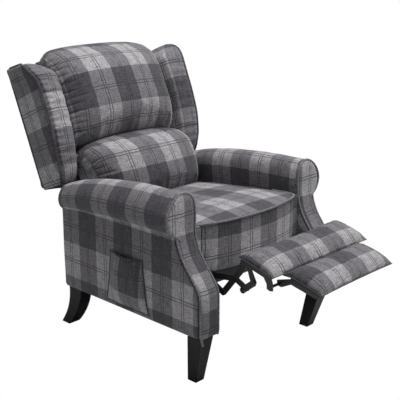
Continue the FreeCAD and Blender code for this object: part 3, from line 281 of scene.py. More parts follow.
def face_towards(bm, direction):
    """Turn the faces of a sheet towards a direction."""
    bmesh.ops.recalc_face_normals(bm, faces=bm.faces)
    bm.normal_update()
    if sum(f.normal.dot(direction) for f in bm.faces) < 0:
        bmesh.ops.reverse_faces(bm, faces=bm.faces)


def double_sheet(bm):
    """Give a sheet a second side, and return its points."""
    made = bmesh.ops.extrude_face_region(bm, geom=list(bm.faces))["geom"]
    return [g for g in made if isinstance(g, bmesh.types.BMVert)]


def finish_piece(name, bm, material, body, replaces=(), merge=0.02, smooth=True):
    """Merge the seams, turn the faces out, and make the mesh an object in metres on its body."""
    if merge:
        bmesh.ops.remove_doubles(bm, verts=bm.verts, dist=merge)
    bmesh.ops.dissolve_degenerate(bm, edges=bm.edges, dist=0.005)
    bmesh.ops.recalc_face_normals(bm, faces=bm.faces)
    bmesh.ops.scale(bm, vec=(0.001, 0.001, 0.001), verts=bm.verts)
    mesh = bpy.data.meshes.new(name)
    bm.to_mesh(mesh)
    bm.free()
    mesh.materials.append(material)
    mesh.polygons.foreach_set("use_smooth", [smooth] * len(mesh.polygons))
    piece = bpy.data.objects.new(name, mesh)
    bpy.context.scene.collection.objects.link(piece)
    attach(piece, body)
    if replaces:
        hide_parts(*replaces)
    return piece


def finish_cloth(name, bm, body, node=None, merge=0.02):
    """Finish a piece of the checked cloth, in the place of a node if one is named."""
    return finish_piece(name, bm, checked_cloth, body, [node] if node else (), merge)


def ripple(x, y, pitch):
    """A gentle unevenness between -1 and 1, with bumps about pitch apart."""
    return noise.noise(Vector((x / pitch, y / pitch, 3.7)))


ARM_CELLS = 60      # cells up the arm's inner side, and as many down its outer side
ARM_INNER = smooth_line(INSIDE, ARM_CELLS)
ARM_ROLL = smooth_line(OUTSIDE_ROLL, ARM_CELLS // 2)
ARM_PANEL = smooth_line(OUTSIDE_PANEL, ARM_CELLS // 2)
ARM_OVER = ARM_INNER + ARM_ROLL[1:]
ARM_OUTER = ARM_ROLL + ARM_PANEL[1:]


def arm_point(side, x, z, t, inset=0.0, back=0.0):
    """The arm's point for x, z of its front outline and share t of its length, drawn in by inset."""
    front = smooth_value(FRONT_CURVE, z) + 10
    y = front + (REAR - 10 - front) * t + back
    fall = max(0.0, (y - ROLL_FRONT) / ROLL_LONG) ** 2.9 * (1 if side < 0 else 0.78)
    neck, top = NECK - 22 * fall, ROLL_TOP - 66 * fall
    if z < NECK:
        z = FOOT + (z - FOOT) * (neck - FOOT) / (NECK - FOOT)
    else:
        z = neck + (z - NECK) * (top - neck) / (ROLL_TOP - NECK)
    middle = (FOOT + top) / 2
    x = ARM_MIDDLE + (x - 0.55 * fall * max(0.0, x - PANEL_X) - ARM_MIDDLE) * (1 - inset / 37)
    z = middle + (z - middle) * (1 - inset / (top - middle))
    return Vector((side * x, y, z))


def arm_rows(t):
    """Share of the length, inset and overhang: the rows past 0.94 round the rear end."""
    if t <= 0.94:
        return t / 0.94, 0.0, 0.0
    turn = (t - 0.94) / 0.06 * math.pi / 2
    return 1.0, 9 * (1 - math.cos(turn)), 10 * math.sin(turn)


def point_of(line, s):
    """The point at share s of an outline, the direction out of it, and the point's number."""
    i = min(len(line) - 1, int(round(s * (len(line) - 1))))
    a, b = line[max(0, i - 1)], line[min(len(line) - 1, i + 1)]
    along = (b - a).normalized()
    return line[i], Vector((-along.y, along.x)), i


def make_arm(side, word, columns, roll_columns, stretch):
    """An arm's cover: the cloth over the roll, the panel under it, the underside and both ends. columns
    and roll_columns say where the check's columns start, stretch how far they are apart on the roll."""
    reach = distances(ARM_OVER)
    hung = [d for _, d in even_path(OUTSIDE_PANEL, ARM_CELLS // 2)]
    outermost = reach[ARM_CELLS + 16]
    rows = 110

    def roll_place(s, t):
        p, normal, i = point_of(ARM_OVER, s)
        share, inset, back = arm_rows(t)
        y = share * ARM_CLOTH
        seam = reach[-1] - reach[i]
        if t == 0 or i == 0 or seam == 0:
            return arm_point(side, p.x, p.y, share, inset, back)
        push = 1.3 * ripple(y, reach[i], 70) * (1 if p.y > 300 else 0.5)
        gathers = 1.3 * math.sin(y / 2.1 + 3 * ripple(y, 0, 30)) * math.exp(-seam / 11) * min(1, seam / 3)
        push += (-2.2 * math.exp(-seam / 5) + gathers) * (1 - t)
        puckers = math.cos(reach[i] / 4.4 + 3 * ripple(reach[i], 4, 40))
        push += 1.7 * math.exp(-y / 17) * min(1, y / 5) * puckers
        q = p + normal * push
        return arm_point(side, q.x, q.y, share, inset, back)

    def roll_check(s, t):
        i = point_of(ARM_OVER, s)[2]
        return (ROLL_FRONT + ROLL_LONG * stretch * t) - roll_columns, reach[i] - outermost + ROW * 500

    def panel_place(s, t):
        p, _, i = point_of(ARM_PANEL, s)
        share, inset, back = arm_rows(t)
        puff = 2.2 * math.sin(math.pi * min(1, s)) + 1.0 * ripple(share * ARM_CLOTH, p.y, 90)
        if t == 0 or i == 0 or i == len(ARM_PANEL) - 1:
            puff = 0
        pull = 0.8 * math.sin(share * 250 + 2) * math.exp(-hung[i] / 14) if i else 0
        return arm_point(side, p.x + puff + pull, p.y, share, inset, back)

    def under_place(s, t):
        inner_x, outer_x = ARM_OVER[0].x, ARM_PANEL[-1].x
        return arm_point(side, inner_x + (outer_x - inner_x) * s, FOOT, *arm_rows(t))

    bm = bmesh.new()
    cloth_panel(bm, len(ARM_OVER) - 1, rows, roll_place, roll_check)
    cloth_panel(bm, len(ARM_PANEL) - 1, rows, panel_place, straight_check(panel_place, 1, 2, columns, 320))
    cloth_panel(bm, 6, rows, under_place, lambda s, t: (t * ARM_CLOTH, s * 70))
    for end in (0, 1):
        def cap_place(s, k, end=end):
            i = int(round(k * ARM_CELLS))
            pair = ARM_INNER[i], ARM_OUTER[ARM_CELLS - i]
            a, b = (arm_point(side, q.x, q.y, *arm_rows(end)) for q in pair)
            p = a.lerp(b, s)
            p.y += end * 3.0 * (4 * s * (1 - s)) * min(1, 4 * k * (1 - k) * 3)
            return p

        cloth_panel(bm, 8, ARM_CELLS, cap_place, straight_check(cap_place, 0, 2, -24, 320))
    bmesh.ops.remove_doubles(bm, verts=bm.verts, dist=0.6)
    finish_cloth(word + "_arm_padded_cover", bm, "base", word + "_arm_cover")


make_arm(-1, "right", 1, -12, 1.06)
make_arm(1, "left", 31, 10, 1.0)

# Arm fronts: a narrow padded facing follows the scroll and sweeps forward to the foot. It is
# sewn on with piping, a cord in bias-cut cloth, whose end hangs a little below the right foot.

MIDDLE_BAND = 85        # from the dark band to the lighter one beside it


def tube(bm, path, radius, shade=0):
    """A piping cord along path with closed ends, cut from the dark band or, moved by shade, from another."""
    count = len(path)
    reach = distances(path)
    frames = []
    up = Vector((0.13, 0.21, 1)).normalized()
    for i in range(count):
        along = (path[min(count - 1, i + 1)] - path[max(0, i - 1)]).normalized()
        out = up - along * up.dot(along)
        if out.length < 0.02:
            out = frames[-1][0] - along * frames[-1][0].dot(along)
        out.normalize()
        if frames and out.dot(frames[-1][0]) < 0:
            out = -out
        frames.append((out, along.cross(out)))
        up = out

    def place(s, t):
        i = int(round(t * (count - 1)))
        turn = s * 2 * math.pi
        squeeze = radius * (1 + 0.05 * math.sin(reach[i] / 3.1))
        return path[i] + (frames[i][0] * math.cos(turn) + frames[i][1] * math.sin(turn)) * squeeze

    def check(s, t):
        i = int(round(t * (count - 1)))
        wave = reach[i] * 0.7 % 80
        return 11 + s * 22 + shade, 68 + min(wave, 80 - wave)

    made = cloth_panel(bm, 10, count - 1, place, check)
    bmesh.ops.remove_doubles(bm, verts=made, dist=0.001)
    bmesh.ops.holes_fill(bm, edges=[e for e in bm.edges if e.is_boundary], sides=0)


def facing_edge(side):
    """The piped line round the facing, from its inner foot over the scroll to its outer foot."""
    return [Vector((side * p.x, smooth_value(FRONT_CURVE, p.y), p.y)) for p in ARM_OVER + ARM_PANEL[1:]]


def curve_reach(z):
    """Length of cloth up the facing from its foot to height z."""
    total, low = 0.0, FOOT
    last = smooth_value(FRONT_CURVE, low)
    while low < z - 1e-6:
        step = min(4.0, z - low)
        low += step
        here = smooth_value(FRONT_CURVE, low)
        total += math.hypot(step, here - last)
        last = here
    return total


def make_facing(side, word, columns):
    """An arm's facing with its piping. columns says where the check's columns start."""
    start = curve_reach(349)

    def place(s, k):
        i = int(round(k * ARM_CELLS))
        p = ARM_INNER[i].lerp(ARM_OUTER[ARM_CELLS - i], 0.02 + 0.96 * s)
        rim = min(1, 4 * s * (1 - s) * 2.2) ** 0.6 * min(1, k * 12) ** 0.6 * min(1, (1 - k) * 9) ** 0.6
        y = smooth_value(FRONT_CURVE, p.y) - 5.5 * rim + 2 + 0.8 * ripple(p.x, p.y, 40) * rim
        return Vector((side * p.x, y, p.y))

    def check(s, k):
        q = place(s, k)
        return q.x - columns, curve_reach(q.z) - start

    bm = bmesh.new()
    cloth_panel(bm, 16, ARM_CELLS, place, check)
    bmesh.ops.remove_doubles(bm, verts=bm.verts, dist=0.3)
    face_towards(bm, Vector((0, -1, 0)))
    bmesh.ops.solidify(bm, geom=list(bm.faces), thickness=7)
    finish_cloth(word + "_arm_padded_facing", bm, "base", word + "_arm_facing", merge=0)
    edge = facing_edge(side)
    if side < 0:
        edge += [edge[-1] + Vector(loose) for loose in ((3, -1, -5), (3, -1, -12), (4, -1, -17))]
    bm = bmesh.new()
    tube(bm, smooth_line(edge[::2] + [edge[-1]], 220), 3.4, MIDDLE_BAND)
    finish_cloth(word + "_facing_piping", bm, "base")


make_facing(-1, "right", -286)
make_facing(1, "left", 345)

# Side pocket: a patch of the checked cloth sewn to the right arm, its mouth drawn in by elastic.

POCKET_MID, POCKET_LOW, POCKET_TOP = 28, 176, 345


def pocket_place(s, t):
    """The pocket swells away from the arm, most of all under its gathered mouth."""
    half = 97 - 25 * t ** 0.8
    y = POCKET_MID + half * (2 * s - 1)
    z = POCKET_LOW + (POCKET_TOP - POCKET_LOW) * t
    side = min(1, 7.6 * s * (1 - s)) ** 0.55 if s < 0.5 else min(1, (1 - s) / 0.3) ** 1.2
    swell = 8 + 16 * math.sin(math.pi * min(1, t * 0.92 + 0.05)) * min(1, t * 5) ** 0.5
    swell *= min(1, t * 8) ** 0.6
    gathers = 2.4 * math.sin(y / 2.3 + 2 * ripple(y, z, 30)) * math.exp(-(1 - t) * 6)
    swell += gathers * min(1, (1 - abs(2 * s - 1)) * 8)
    return Vector((-(320.6 + side * min(23.5, swell)), y, z - 5 * (1 - abs(2 * s - 1) ** 2) * t ** 6))


bm = bmesh.new()
cloth_panel(bm, 60, 50, pocket_place, straight_check(pocket_place, 1, 2, -41, 228))
face_towards(bm, Vector((-1, 0, 0)))
bmesh.ops.solidify(bm, geom=list(bm.faces), thickness=2)
pocket = finish_cloth("side_pocket_patch", bm, "base", "side_pocket", merge=0)
bm = bmesh.new()
tube(bm, [pocket_place(k / 60, 0.985) + Vector((0.5, 0, 0)) for k in range(61)], 2.2)
hem = [(0.005, 1 - k / 30) for k in range(31)] + [(k / 40, 0.005) for k in range(1, 40)]
hem += [(0.995, k / 30) for k in range(31)]
tube(bm, smooth_line([pocket_place(s, t) for s, t in hem], 150), 1.9)
finish_cloth("side_pocket_hem", bm, "base")

# Seat: a crowned foam cushion in the checked cloth, piped along its bowed front edge, over
# a boxed front panel that is sewn to the same seam and closes the front of the seat frame.

SEAT_HALF, SEAT_FRONT, SEAT_REAR, SEAT_EDGE, SEAT_BASE = 239, -229, 228, 466, 402.5
BORDER_LOW, BORDER_TOP, BOARD_FRONT = 324.5, 463, -186.5


def seat_front(x):
    """y of the bowed front edge, which turns back at its corners."""
    return SEAT_FRONT + 43 * (x / SEAT_HALF) ** 2 + 26 * abs(x / SEAT_HALF) ** 12


def seat_top(x, y):
    """Height of the seat's cloth: crowned, lower at its sides, and falling into the gap at the rear."""
    front = seat_front(x)
    a, b = x / SEAT_HALF, (y - front) / (SEAT_REAR - front)
    crown = 18 * (1 - abs(a) ** 3.2) * math.sin(math.pi * min(0.5, b * 1.25 + 0.02)) ** 0.6
    lip = 1 - math.exp(-b * 14)
    drop = -36 * max(0.0, b) ** 1.5
    uneven = 2.2 * ripple(x + 40, y, 85) * lip + 0.9 * ripple(x, y, 28) * lip
    return SEAT_EDGE + crown * lip + drop + uneven


def seat_place(s, t):
    x = SEAT_HALF * (2 * s - 1)
    front = seat_front(x)
    y = front + (SEAT_REAR - front) * t
    side = 5 * abs(2 * s - 1) ** 12
    return Vector((x, y, seat_top(x, y) - side))


SEAT_COLS, SEAT_ROWS = 96, 90
bm = bmesh.new()
cloth_panel(bm, SEAT_COLS, SEAT_ROWS, seat_place, straight_check(seat_place, 0, 1, 0, -283))
rims = [seat_place(k / SEAT_COLS, 0) for k in range(SEAT_COLS)]
rims += [seat_place(1, k / SEAT_ROWS) for k in range(SEAT_ROWS)]
rims += [seat_place(1 - k / SEAT_COLS, 1) for k in range(SEAT_COLS)]
rims += [seat_place(0, 1 - k / SEAT_ROWS) for k in range(SEAT_ROWS + 1)]


def wall_place(s, t):
    """The cushion's wall, sewn to its rim and bulging a little."""
    p = rims[int(round(s * (len(rims) - 1)))].copy()
    bulge = 3 * math.sin(math.pi * t)
    p.z = p.z + (SEAT_BASE - p.z) * t
    inward = Vector((-p.x, -p.y, 0)).normalized()
    return p + inward * (0 if t == 0 else 2 - bulge * 0.4)


cloth_panel(bm, len(rims) - 1, 8, wall_place, lambda s, t: (s * 1850, t * 60 + 20))
close_seams(bm)
finish_cloth("seat_padded_cushion", bm, "seat", "seat_cushion")

bm = bmesh.new()
path = [seat_place(0, b) + Vector((2.6, 0, 1)) for b in (0.2, 0.12, 0.05)]
path += [seat_place(k / 96, 0) + Vector((0, -2.0, -0.5)) for k in range(2, 95, 4)]
path += [seat_place(1, b) + Vector((-2.6, 0, 1)) for b in (0.05, 0.12, 0.2)]
tube(bm, smooth_line(path, 200), 3.6, MIDDLE_BAND)
finish_cloth("seat_front_piping", bm, "seat")


def border_place(s, t):
    """The boxed front. Its lower edge is 9 mm higher at both ends."""
    x = SEAT_HALF * (2 * s - 1)
    low = BORDER_LOW - 9 * min(1, max(0.0, 200 - abs(x)) / 20)
    z = low + (BORDER_TOP - low) * t
    rim = min(1, 4 * s * (1 - s) * 5) ** 0.5 * min(1, 4 * t * (1 - t) * 1.8) ** 0.5
    y = seat_front(x) + 2 - 4 * rim - 1.0 * ripple(x, z, 60) * rim
    return Vector((x, y, z))


bm = bmesh.new()
cloth_panel(bm, SEAT_COLS, 26, border_place, straight_check(border_place, 0, 2, 0, 418))
face_towards(bm, Vector((0, -1, 0)))
for v in double_sheet(bm):
    v.co.y = min(BOARD_FRONT, v.co.y + 40)
finish_cloth("seat_front_boxing", bm, "seat", "seat_front_border", merge=0)

# Back cushions: a lumbar cushion and a head pillow, fibre in the checked cloth, sewn down to
# the back's webbing along arched seams. The cloth gathers where it meets the side seams.

LEAN, PIVOT_Y, PIVOT_Z = math.radians(22.9), 213, 345


def on_back(x, v, u):
    """A point of the leaning back: x across, v rearwards square to the back, u up along it."""
    return Vector((x, PIVOT_Y + v * math.cos(LEAN) + u * math.sin(LEAN),
                   PIVOT_Z - v * math.sin(LEAN) + u * math.cos(LEAN)))


def along_back(x, v, u):
    """A step in the back's own directions."""
    return on_back(x, v, u) - on_back(0, 0, 0)


def settle(piece, sewn, cap, spare=0.02):
    """Let the cloth swell over its filling. Points of sewn (in mm) stay, others move cap metres at
    most, and spare is the share of cloth beyond what the shape needs."""
    fixed = {tuple(round(c, 1) for c in p) for p in sewn}
    mesh = piece.data
    rest = [v.co.copy() for v in mesh.vertices]
    group = piece.vertex_groups.new(name="sewn")
    held = [v.index for v in mesh.vertices if tuple(round(c * 1000, 1) for c in v.co) in fixed]
    group.add(held, 1.0, "REPLACE")
    cloth = piece.modifiers.new("filling", "CLOTH")
    rules = cloth.settings
    rules.quality, rules.mass, rules.air_damping = 6, 0.25, 3
    rules.tension_stiffness = rules.compression_stiffness = 22
    rules.shear_stiffness, rules.bending_stiffness = 12, 0.9
    rules.use_pressure, rules.uniform_pressure_force = True, 4
    rules.shrink_min = -spare
    rules.vertex_group_mass = "sewn"
    rules.effector_weights.gravity = 0
    cloth.collision_settings.use_collision = False
    cloth.point_cache.frame_start, cloth.point_cache.frame_end = 1, 20
    for moment in range(1, 21):
        bpy.context.scene.frame_set(moment)
    settled = piece.evaluated_get(bpy.context.evaluated_depsgraph_get()).to_mesh()
    ends = [v.co.copy() for v in settled.vertices]
    piece.modifiers.remove(cloth)
    piece.vertex_groups.remove(group)
    bpy.context.scene.frame_set(1)
    for v, start, end in zip(mesh.vertices, rest, ends):
        move = end - start
        v.co = start + move * min(1.0, cap / max(move.length, 1e-9))
    mesh.update()


def back_cushion(name, node, foot, top, rows, arch_low, arch_high, columns, first_row, gathers, swell, fan):
    """A cushion of the back. rows: share of the height, half width, v at the sides, v in the middle, and x
    of the middle. foot, top and the arches place its seams, columns and first_row the check; gathers is
    the pitch of the gathers at its side seams, swell their depth, and fan how much they spread."""
    halves, sides, middles, offsets = ([(r[0], r[k]) for r in rows] for k in (1, 2, 3, 4))
    rear, side_deep = 94, 60
    cols, levels, rear_cols = 110, 150, 36
    mid = cols // 2

    def height(t, a):
        arch = arch_low + (arch_high - arch_low) * t
        return foot + (top - foot) * t + arch * (1 - a * a)

    def front(s, t):
        a = 2 * s - 1
        turn = a * math.pi / 2
        half, side, middle = (smooth_value(table, t) for table in (halves, sides, middles))
        x = smooth_value(offsets, t) + half * math.copysign(abs(math.sin(turn)) ** 0.88, a)
        v = side - (side - middle) * max(0.0, math.cos(turn)) ** 0.82
        near = (1 - abs(a)) * half * 1.25
        u = height(t, a)
        fold = math.exp(-(near / 76) ** 1.4) * min(1, near / 6) * min(1, t * 9) * min(1, (1 - t) * 9)
        turns = (u + (fan * near * (0.5 - t))) / gathers + 0.7 * ripple(u, a * 9, 50) + (0.3 if a > 0 else 0)
        valley = math.exp(-((turns - round(turns)) / 0.15) ** 2)
        v += swell * fold * (1.5 * valley - 0.35) * (0.75 + 0.5 * ripple(u, a * 4, 24))
        edge = min(t, 1 - t) * (top - foot)
        v += 1.6 * math.exp(-edge / 20) * min(1, edge / 6) * math.cos(x / 7.5 + 4 * ripple(x, t * 9, 60))
        v += 2.0 * ripple(x, u, 75) * min(1, near / 20)
        return on_back(x, v, u)

    def behind(s, t):
        half, side = smooth_value(halves, t), smooth_value(sides, t)
        k = s * 3
        if k < 1:
            x, v = half - 10 * k * k, side + (rear - side) * k ** 0.8
        elif k < 2:
            x, v = (half - 10) * (3 - 2 * k), rear
        else:
            x, v = -(half - 10 * (3 - k) ** 2), side + (rear - side) * (3 - k) ** 0.8
        return on_back(x + smooth_value(offsets, t), v, height(t, x / half))

    spot = [[front(i / cols, k / levels) for i in range(cols + 1)] for k in range(levels + 1)]
    across, along = {}, {}
    for k, line in enumerate(spot):
        across[k, mid] = 0.0
        for i in range(mid):
            across[k, mid + 1 + i] = across[k, mid + i] + (line[mid + 1 + i] - line[mid + i]).length
            across[k, mid - 1 - i] = across[k, mid - i] - (line[mid - 1 - i] - line[mid - i]).length
    start = min(range(levels + 1), key=lambda k: abs(height(k / levels, 0) - max(first_row, foot)))
    for i in range(cols + 1):
        along[start, i] = height(start / levels, 2 * i / cols - 1) - first_row
        for k in range(start, levels):
            along[k + 1, i] = along[k, i] + (spot[k + 1][i] - spot[k][i]).length
        for k in range(start, 0, -1):
            along[k - 1, i] = along[k, i] - (spot[k - 1][i] - spot[k][i]).length

    def check(s, t):
        here = int(round(t * levels)), int(round(s * cols))
        return across[here] - columns, along[here]

    def check_behind(s, t):
        row, k = int(round(t * levels)), s * 3
        if k <= 1:
            return across[row, cols] + side_deep * k - columns, along[row, cols]
        if k >= 2:
            return across[row, 0] - side_deep * (3 - k) - columns, along[row, 0]
        return s * 700, height(t, 0)

    bm = bmesh.new()
    cloth_panel(bm, cols, levels, front, check)
    cloth_panel(bm, rear_cols, levels, behind, check_behind)
    close_seams(bm)
    piece = finish_cloth(name, bm, "back", node)
    sewn = [front(s, k / levels) for s in (0, 1) for k in range(levels + 1)]
    sewn += [front(k / cols, t) for t in (0, 1) for k in range(cols + 1)]
    sewn += [behind(i / rear_cols, k / levels) for i in range(rear_cols + 1) for k in range(levels + 1)]
    settle(piece, sewn, 0.012)


PILLOW_ROW = 411        # u where a row of the check starts, on the pillow and on the outer back
LUMBAR_ROWS = ((0, 196, 34, -58, 12), (0.12, 208, 34, -84, 12), (0.4, 221, 32, -92, 9),
               (0.7, 231, 34, -84, 4), (0.9, 223, 44, -56, -7), (1, 206, 60, 4, -9))
PILLOW_ROWS = ((0, 204, 60, 2, -8), (0.08, 220, 50, -36, -11), (0.35, 227, 42, -58, -13),
               (0.62, 226, 42, -56, -15), (0.82, 228, 52, -30, -18), (0.93, 223, 64, 4, -23),
               (1, 198, 74, 48, -22))
back_cushion("lumbar_padded_cushion", "lumbar_cushion", 86, 293, LUMBAR_ROWS, 0, 24, -85, 75, 19, 6.0, 0.6)
back_cushion("head_padded_pillow", "head_pillow", 298, 636, PILLOW_ROWS, 24, 12, -61, PILLOW_ROW,
             22, 5.6, 0.1)

# Wings: a padded roll over a panel on each side of the back. The cloth of the outer side and
# that of the inner roll meet in a piped seam along the front and over the top.

WING_FOOT, WING_REAR, WING_INNER, WING_LONG = 202, 143, 240, 408
# Share of the height, x of the front corner, x of the rear corner, and v of the front corner.
WING_ROWS = ((0, 303, 326, 75), (0.04, 309, 327, 57), (0.11, 314, 328, 40), (0.19, 321, 328, 29),
             (0.385, 324, 328, 10), (0.62, 324, 329, 4), (0.8, 328, 330, 7), (0.94, 340, 334, 27),
             (0.985, 338, 334, 46), (1, 332, 330, 62))


def make_wing(side, word, top, slope, columns, first_row, roll_columns, roll_row):
    """A wing's cover with its piping. slope lowers its front corner; the rest starts the check's columns
    and rows, outside and on the roll."""
    tall = top - WING_FOOT
    outer, behind, front = ([(r[0], r[k]) for r in WING_ROWS] for k in (1, 2, 3))

    def section(t):
        """Share of the height, inset and extra height: the last rows round the top."""
        if t <= 0.95:
            return t / 0.95 * 0.985, 0.0, 0.0
        turn = (t - 0.95) / 0.05 * math.pi / 2
        return 0.985 + 0.015 * math.sin(turn), 7 * (1 - math.cos(turn)), 3 * math.sin(turn)

    def corner(share):
        return smooth_value(outer, share), smooth_value(front, share)

    def inner_at(share):
        return WING_INNER + 46 * max(0.0, (share - 0.85) / 0.15) ** 1.7

    def drawn(x, v, share, inset, extra):
        extra -= 8 * max(0.0, (share - 0.88) / 0.12) ** 2 * max(0.0, (320 - x) / 75)
        extra -= slope * max(0.0, (share - 0.8) / 0.2) * max(0.0, (WING_REAR - v) / 80)
        x = 288 + (x - 288) * (1 - inset / 45)
        v = 100 + (v - 100) * (1 - inset / 60)
        return on_back(side * x, v, WING_FOOT + tall * share + extra)

    def roll(s, t):
        share, inset, extra = section(t)
        fx, fv = corner(share)
        u = share * WING_LONG
        soft = math.cos(2 * math.pi * u / 46 + 4 * ripple(u, 5, 70)) * math.exp(-((s - 0.62) / 0.2) ** 2)
        inner = inner_at(share)
        path = ((inner, WING_REAR), (inner, fv + 55), (inner + 0.5, fv + 16),
                (inner + 12 - (inner - WING_INNER) * 0.1, fv - 5), ((inner + fx) / 2 + 6, fv - 13.5),
                (fx - 12, fv - 9), (fx, fv))
        k = s * 6
        i = min(5, int(k))
        f = k - i
        pts = [Vector(p) for p in path]
        a, b = pts[i], pts[i + 1]
        before = pts[i - 1] if i else a
        after = pts[i + 2] if i < 5 else b
        h = (2 * a + (b - before) * f + (2 * before - 5 * a + 4 * b - after) * f * f
             + (3 * a - before - 3 * b + after) * f ** 3) * 0.5
        if 0.35 < s < 1:
            h.y += 1.92 * soft * min(1, t * 8) + 1.1 * ripple(u, s * 90, 40)
        gather = math.cos(2 * math.pi * u / 19 + 3 * ripple(u, 9, 60)) * math.exp(-((s - 0.84) / 0.15) ** 2)
        h.y += 2.0 * gather * min(1, t * 8)
        h.x += 2 * math.exp(-((s - 0.3 - 0.05 * share) / 0.07) ** 2) * min(1, 6 * t * (1 - t) * 2)
        return drawn(h.x, h.y, share, inset, extra)

    def side_panel(s, t):
        share, inset, extra = section(t)
        fx, fv = corner(share)
        rx = smooth_value(behind, share)
        rim = min(1, 4 * s * (1 - s) * 2) ** 0.6 * min(1, t * 10) ** 0.6
        x = fx + (rx - fx) * s + 3.2 * rim + 1.2 * ripple(s * 130, share * WING_LONG, 60) * rim
        x += 2.4 * math.exp(-share / 0.06) * math.cos(23 * s + 2) * min(1, 6 * s * (1 - s))
        return drawn(min(x, 347), fv + (WING_REAR - fv) * s, share, inset, extra)

    def rear_panel(s, t):
        share, inset, extra = section(t)
        rx = smooth_value(behind, share)
        return drawn(rx + (inner_at(share) - rx) * s, WING_REAR, share, inset, extra)

    def check_at(across, row):
        def check(s, t):
            share = section(t)[0]
            return across(s, share), WING_FOOT + tall * share - row
        return check

    def side_across(s, share):
        front_v = corner(share)[1]
        return front_v + (WING_REAR - front_v) * s - columns

    bm = bmesh.new()
    cloth_panel(bm, 42, 100, roll, check_at(lambda s, share: roll_columns - 205 * (1 - s), roll_row))
    cloth_panel(bm, 30, 100, side_panel, check_at(side_across, first_row))
    cloth_panel(bm, 10, 100, rear_panel, check_at(lambda s, share: 150 + 90 * s, first_row))
    close_seams(bm)
    finish_cloth(word + "_wing_padded_cover", bm, "back", word + "_wing_cover")
    path = [side_panel(0, k / 110) + along_back(side * 2.2, -1.6, 0) for k in range(111)]
    path += [side_panel(k / 20, 1) + on_back(side * 1.5, 0, 1.5) - on_back(0, 0, 0) for k in range(1, 21)]
    bm = bmesh.new()
    tube(bm, smooth_line(path[::3] + [path[-1]], 240), 3.6)
    finish_cloth(word + "_wing_piping", bm, "back")


make_wing(-1, "right", 610, 8, 139, 271, 30, 253)
make_wing(1, "left", 618, 0, 139, 271, 104, 365)

# Outer back: a padded panel of the checked cloth over the rear of the back and the wings,
# piped along both sides and its top edge. A roll of padding covers the top rail.

SHELL_LOW, SHELL_TOP, SHELL_FRONT = -21, 610, 143.4


def shell_half(u):
    """Half the panel's width: narrow between the arms, and as wide as the wings above them."""
    if u < WING_FOOT - 4:
        return 235
    return smooth_value(((198, 322), (208, 327), (457, 329), (610, 331)), u)


def shell_place(s, t):
    u = SHELL_LOW + (SHELL_TOP - SHELL_LOW) * t
    x = shell_half(u) * (2 * s - 1)
    rim = min(1, 4 * s * (1 - s) * 4.5) ** 0.5 * min(1, t * 22) ** 0.5 * min(1, (1 - t) * 22) ** 0.5
    return on_back(x, 144.5 + 9.5 * rim + 0.8 * ripple(x, u, 90) * rim, u)


def shell_check(s, t):
    u = SHELL_LOW + (SHELL_TOP - SHELL_LOW) * t
    return shell_half(u) * (2 * s - 1), u - PILLOW_ROW


bm = bmesh.new()
cloth_panel(bm, 90, 100, shell_place, shell_check)
face_towards(bm, Vector((0, 1, 0)))
flat, facing_out = on_back(0, SHELL_FRONT, 0), along_back(0, 1, 0)
for v in double_sheet(bm):
    v.co -= facing_out * (v.co - flat).dot(facing_out)
finish_cloth("outer_back_padded_panel", bm, "back", "outer_back", merge=0)
edge = [shell_place(0, k / 60) for k in range(61)] + [shell_place(k / 60, 1) for k in range(1, 61)]
edge += [shell_place(1, 1 - k / 60) for k in range(1, 61)]
bm = bmesh.new()
tube(bm, smooth_line(edge[::2] + [edge[-1]], 420), 3.2)
finish_cloth("outer_back_piping", bm, "back")


def top_roll(s, t):
    """Half a round over the top rail, from its front edge to its rear edge."""
    x = 238.5 * (2 * t - 1)
    turn = math.pi * s
    v = 119.5 - 23 * math.cos(turn)
    end = min(1, 4 * t * (1 - t) * 14) ** 0.5
    return on_back(x, v, 599.6 + (22.5 + 0.8 * ripple(x, 9, 50)) * math.sin(turn) ** 0.8 * end)


bm = bmesh.new()
cloth_panel(bm, 16, 60, top_roll, lambda s, t: (477 * t, 70 * s))
close_seams(bm, 0.02)
finish_cloth("back_top_roll", bm, "back", "back_top_pad")

# Footrest pads: two knife-edge cushions, each stapled to a board under it. Their corners are
# pointed, their sides pull in between the corners, and the seam runs along the lower edge.

TILT, PAD_Y, PAD_Z, PAD_HALF = math.radians(14.7), -340, 405, 63


def on_pad(x, along, up):
    """A point of the footrest: x across, along it outwards, and up square to it."""
    return Vector((x, PAD_Y - along * math.cos(TILT) - up * math.sin(TILT),
                   PAD_Z - along * math.sin(TILT) + up * math.cos(TILT)))


